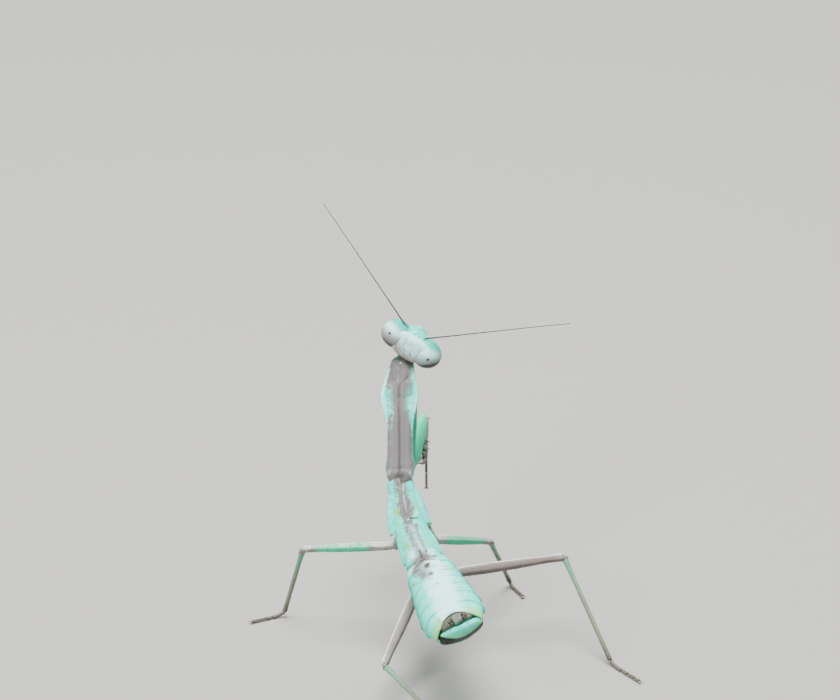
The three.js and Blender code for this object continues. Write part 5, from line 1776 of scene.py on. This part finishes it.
def make_stage(_sizes):
    """Floor, three soft lamps, air and camera."""
    n = FLOOR_POINTS
    line = np.linspace(-FLOOR_REACH, FLOOR_REACH, n)
    x, y = np.meshgrid(line, line, indexing="ij")
    grid = np.stack([x, y, 0 * x], -1).reshape(-1, 3)
    faces = [
        (i * n + j, (i + 1) * n + j, (i + 1) * n + j + 1, i * n + j + 1)
        for i in range(n - 1)
        for j in range(n - 1)
    ]
    mesh = bpy.data.meshes.new("studio_floor")
    mesh.from_pydata(grid.tolist(), [], faces)
    mesh.materials.append(finish_of("studio_paper"))
    floor = bpy.data.objects.new("studio_floor", mesh)
    bpy.context.scene.collection.objects.link(floor)

    for name, (where, target, width, watts, tint) in LAMPS.items():
        light = bpy.data.lights.new(name, "AREA")
        light.shape, light.size, light.energy, light.color = "DISK", width, watts, tint
        made = bpy.data.objects.new(name, light)
        bpy.context.scene.collection.objects.link(made)
        made.location = where
        aim_at = Vector(target) - Vector(where)
        made.rotation_euler = aim_at.to_track_quat("-Z", "Y").to_euler()

    world = bpy.data.worlds.new("studio_air")
    bpy.context.scene.world = world
    world.use_nodes = True
    tree = world.node_tree
    tree.nodes.clear()
    air = node(tree, "ShaderNodeBackground", {"Color": AIR_TINT, "Strength": AIR_STRENGTH}, "Background")
    node(tree, "ShaderNodeOutputWorld", {"Surface": air})

    lens = bpy.data.cameras.new("camera")
    lens.lens, lens.sensor_width = FOCAL_LENGTH, SENSOR_WIDTH
    lens.clip_start, lens.clip_end = CLIPPING
    camera = bpy.data.objects.new("camera", lens)
    bpy.context.scene.collection.objects.link(camera)
    camera.location = at(CAMERA_AT) * MM
    camera.rotation_euler = (CAMERA_TILT, 0, CAMERA_TURN)
    bpy.context.scene.camera = camera


# ---------- Add-on ----------


class MantisOperator:
    bl_options = {"REGISTER", "UNDO"}

    def execute(self, context):
        self.make(context.scene.mantis_sizes)
        return {"FINISHED"}


class MANTIS_OT_head(MantisOperator, bpy.types.Operator):
    """Head capsule with its sutures and simple eyes"""

    bl_idname = "mantis.head"
    bl_label = "Head"
    make = staticmethod(make_head)


class MANTIS_OT_eyes(MantisOperator, bpy.types.Operator):
    """Compound eyes"""

    bl_idname = "mantis.eyes"
    bl_label = "Eyes"
    make = staticmethod(make_eyes)


class MANTIS_OT_mouthparts(MantisOperator, bpy.types.Operator):
    """Lips, jaws and palps"""

    bl_idname = "mantis.mouthparts"
    bl_label = "Mouthparts"
    make = staticmethod(make_mouthparts)


class MANTIS_OT_neck(MantisOperator, bpy.types.Operator):
    """Folded neck membrane"""

    bl_idname = "mantis.neck"
    bl_label = "Neck"
    make = staticmethod(make_neck)


class MANTIS_OT_antennae(MantisOperator, bpy.types.Operator):
    """Thread-like antennae"""

    bl_idname = "mantis.antennae"
    bl_label = "Antennae"
    make = staticmethod(make_antennae)


class MANTIS_OT_prothorax(MantisOperator, bpy.types.Operator):
    """Long first shield and breast"""

    bl_idname = "mantis.prothorax"
    bl_label = "Prothorax"
    make = staticmethod(make_prothorax)


class MANTIS_OT_thorax(MantisOperator, bpy.types.Operator):
    """Second and third thoracic segments"""

    bl_idname = "mantis.thorax"
    bl_label = "Thorax"
    make = staticmethod(make_thorax)


class MANTIS_OT_wing_pads(MantisOperator, bpy.types.Operator):
    """Four wing buds"""

    bl_idname = "mantis.wing_pads"
    bl_label = "Wing pads"
    make = staticmethod(make_wing_pads)


class MANTIS_OT_abdomen(MantisOperator, bpy.types.Operator):
    """Overlapping abdominal plates"""

    bl_idname = "mantis.abdomen"
    bl_label = "Abdomen"
    make = staticmethod(make_abdomen)


class MANTIS_OT_tail(MantisOperator, bpy.types.Operator):
    """Hind plates and cerci"""

    bl_idname = "mantis.tail"
    bl_label = "Tail"
    make = staticmethod(make_tail)


class MANTIS_OT_walking_legs(MantisOperator, bpy.types.Operator):
    """Four walking legs with their claws"""

    bl_idname = "mantis.walking_legs"
    bl_label = "Walking legs"
    make = staticmethod(make_walking_legs)


class MANTIS_OT_forelegs(MantisOperator, bpy.types.Operator):
    """Grasping forelegs with their spines"""

    bl_idname = "mantis.forelegs"
    bl_label = "Forelegs"
    make = staticmethod(make_forelegs)


class MANTIS_OT_setae(MantisOperator, bpy.types.Operator):
    """Fine hairs of the limbs"""

    bl_idname = "mantis.setae"
    bl_label = "Setae"
    make = staticmethod(make_setae)


class MANTIS_OT_stage(MantisOperator, bpy.types.Operator):
    """Floor, lamps and camera"""

    bl_idname = "mantis.stage"
    bl_label = "Stage"
    make = staticmethod(make_stage)


OPERATORS = (
    MANTIS_OT_head,
    MANTIS_OT_eyes,
    MANTIS_OT_mouthparts,
    MANTIS_OT_neck,
    MANTIS_OT_antennae,
    MANTIS_OT_prothorax,
    MANTIS_OT_thorax,
    MANTIS_OT_wing_pads,
    MANTIS_OT_abdomen,
    MANTIS_OT_tail,
    MANTIS_OT_walking_legs,
    MANTIS_OT_forelegs,
    MANTIS_OT_setae,
    MANTIS_OT_stage,
)


class MANTIS_PT_sidebar(bpy.types.Panel):
    """Lists every piece of the mantis with the sizes and colours it takes."""

    bl_label = "Praying mantis nymph"
    bl_idname = "MANTIS_PT_sidebar"
    bl_space_type = "VIEW_3D"
    bl_region_type = "UI"
    bl_category = "Mantis"

    def draw(self, context):
        for group in (context.scene.mantis_sizes, context.scene.mantis_colours):
            box = self.layout.box()
            for name in group.bl_rna.properties.keys():
                if name not in ("rna_type", "name"):
                    box.prop(group, name)
        for operator in OPERATORS:
            self.layout.operator(operator.bl_idname)


CLASSES = (MantisSizes, MantisColours, *OPERATORS, MANTIS_PT_sidebar)


def register():
    for cls in CLASSES:
        bpy.utils.register_class(cls)
    bpy.types.Scene.mantis_sizes = PointerProperty(type=MantisSizes)
    bpy.types.Scene.mantis_colours = PointerProperty(type=MantisColours)


def unregister():
    del bpy.types.Scene.mantis_colours
    del bpy.types.Scene.mantis_sizes
    for cls in reversed(CLASSES):
        bpy.utils.unregister_class(cls)


def main():
    register()
    for operator in OPERATORS:
        family, _, name = operator.bl_idname.partition(".")
        getattr(getattr(bpy.ops, family), name)()


if __name__ == "__main__":
    main()
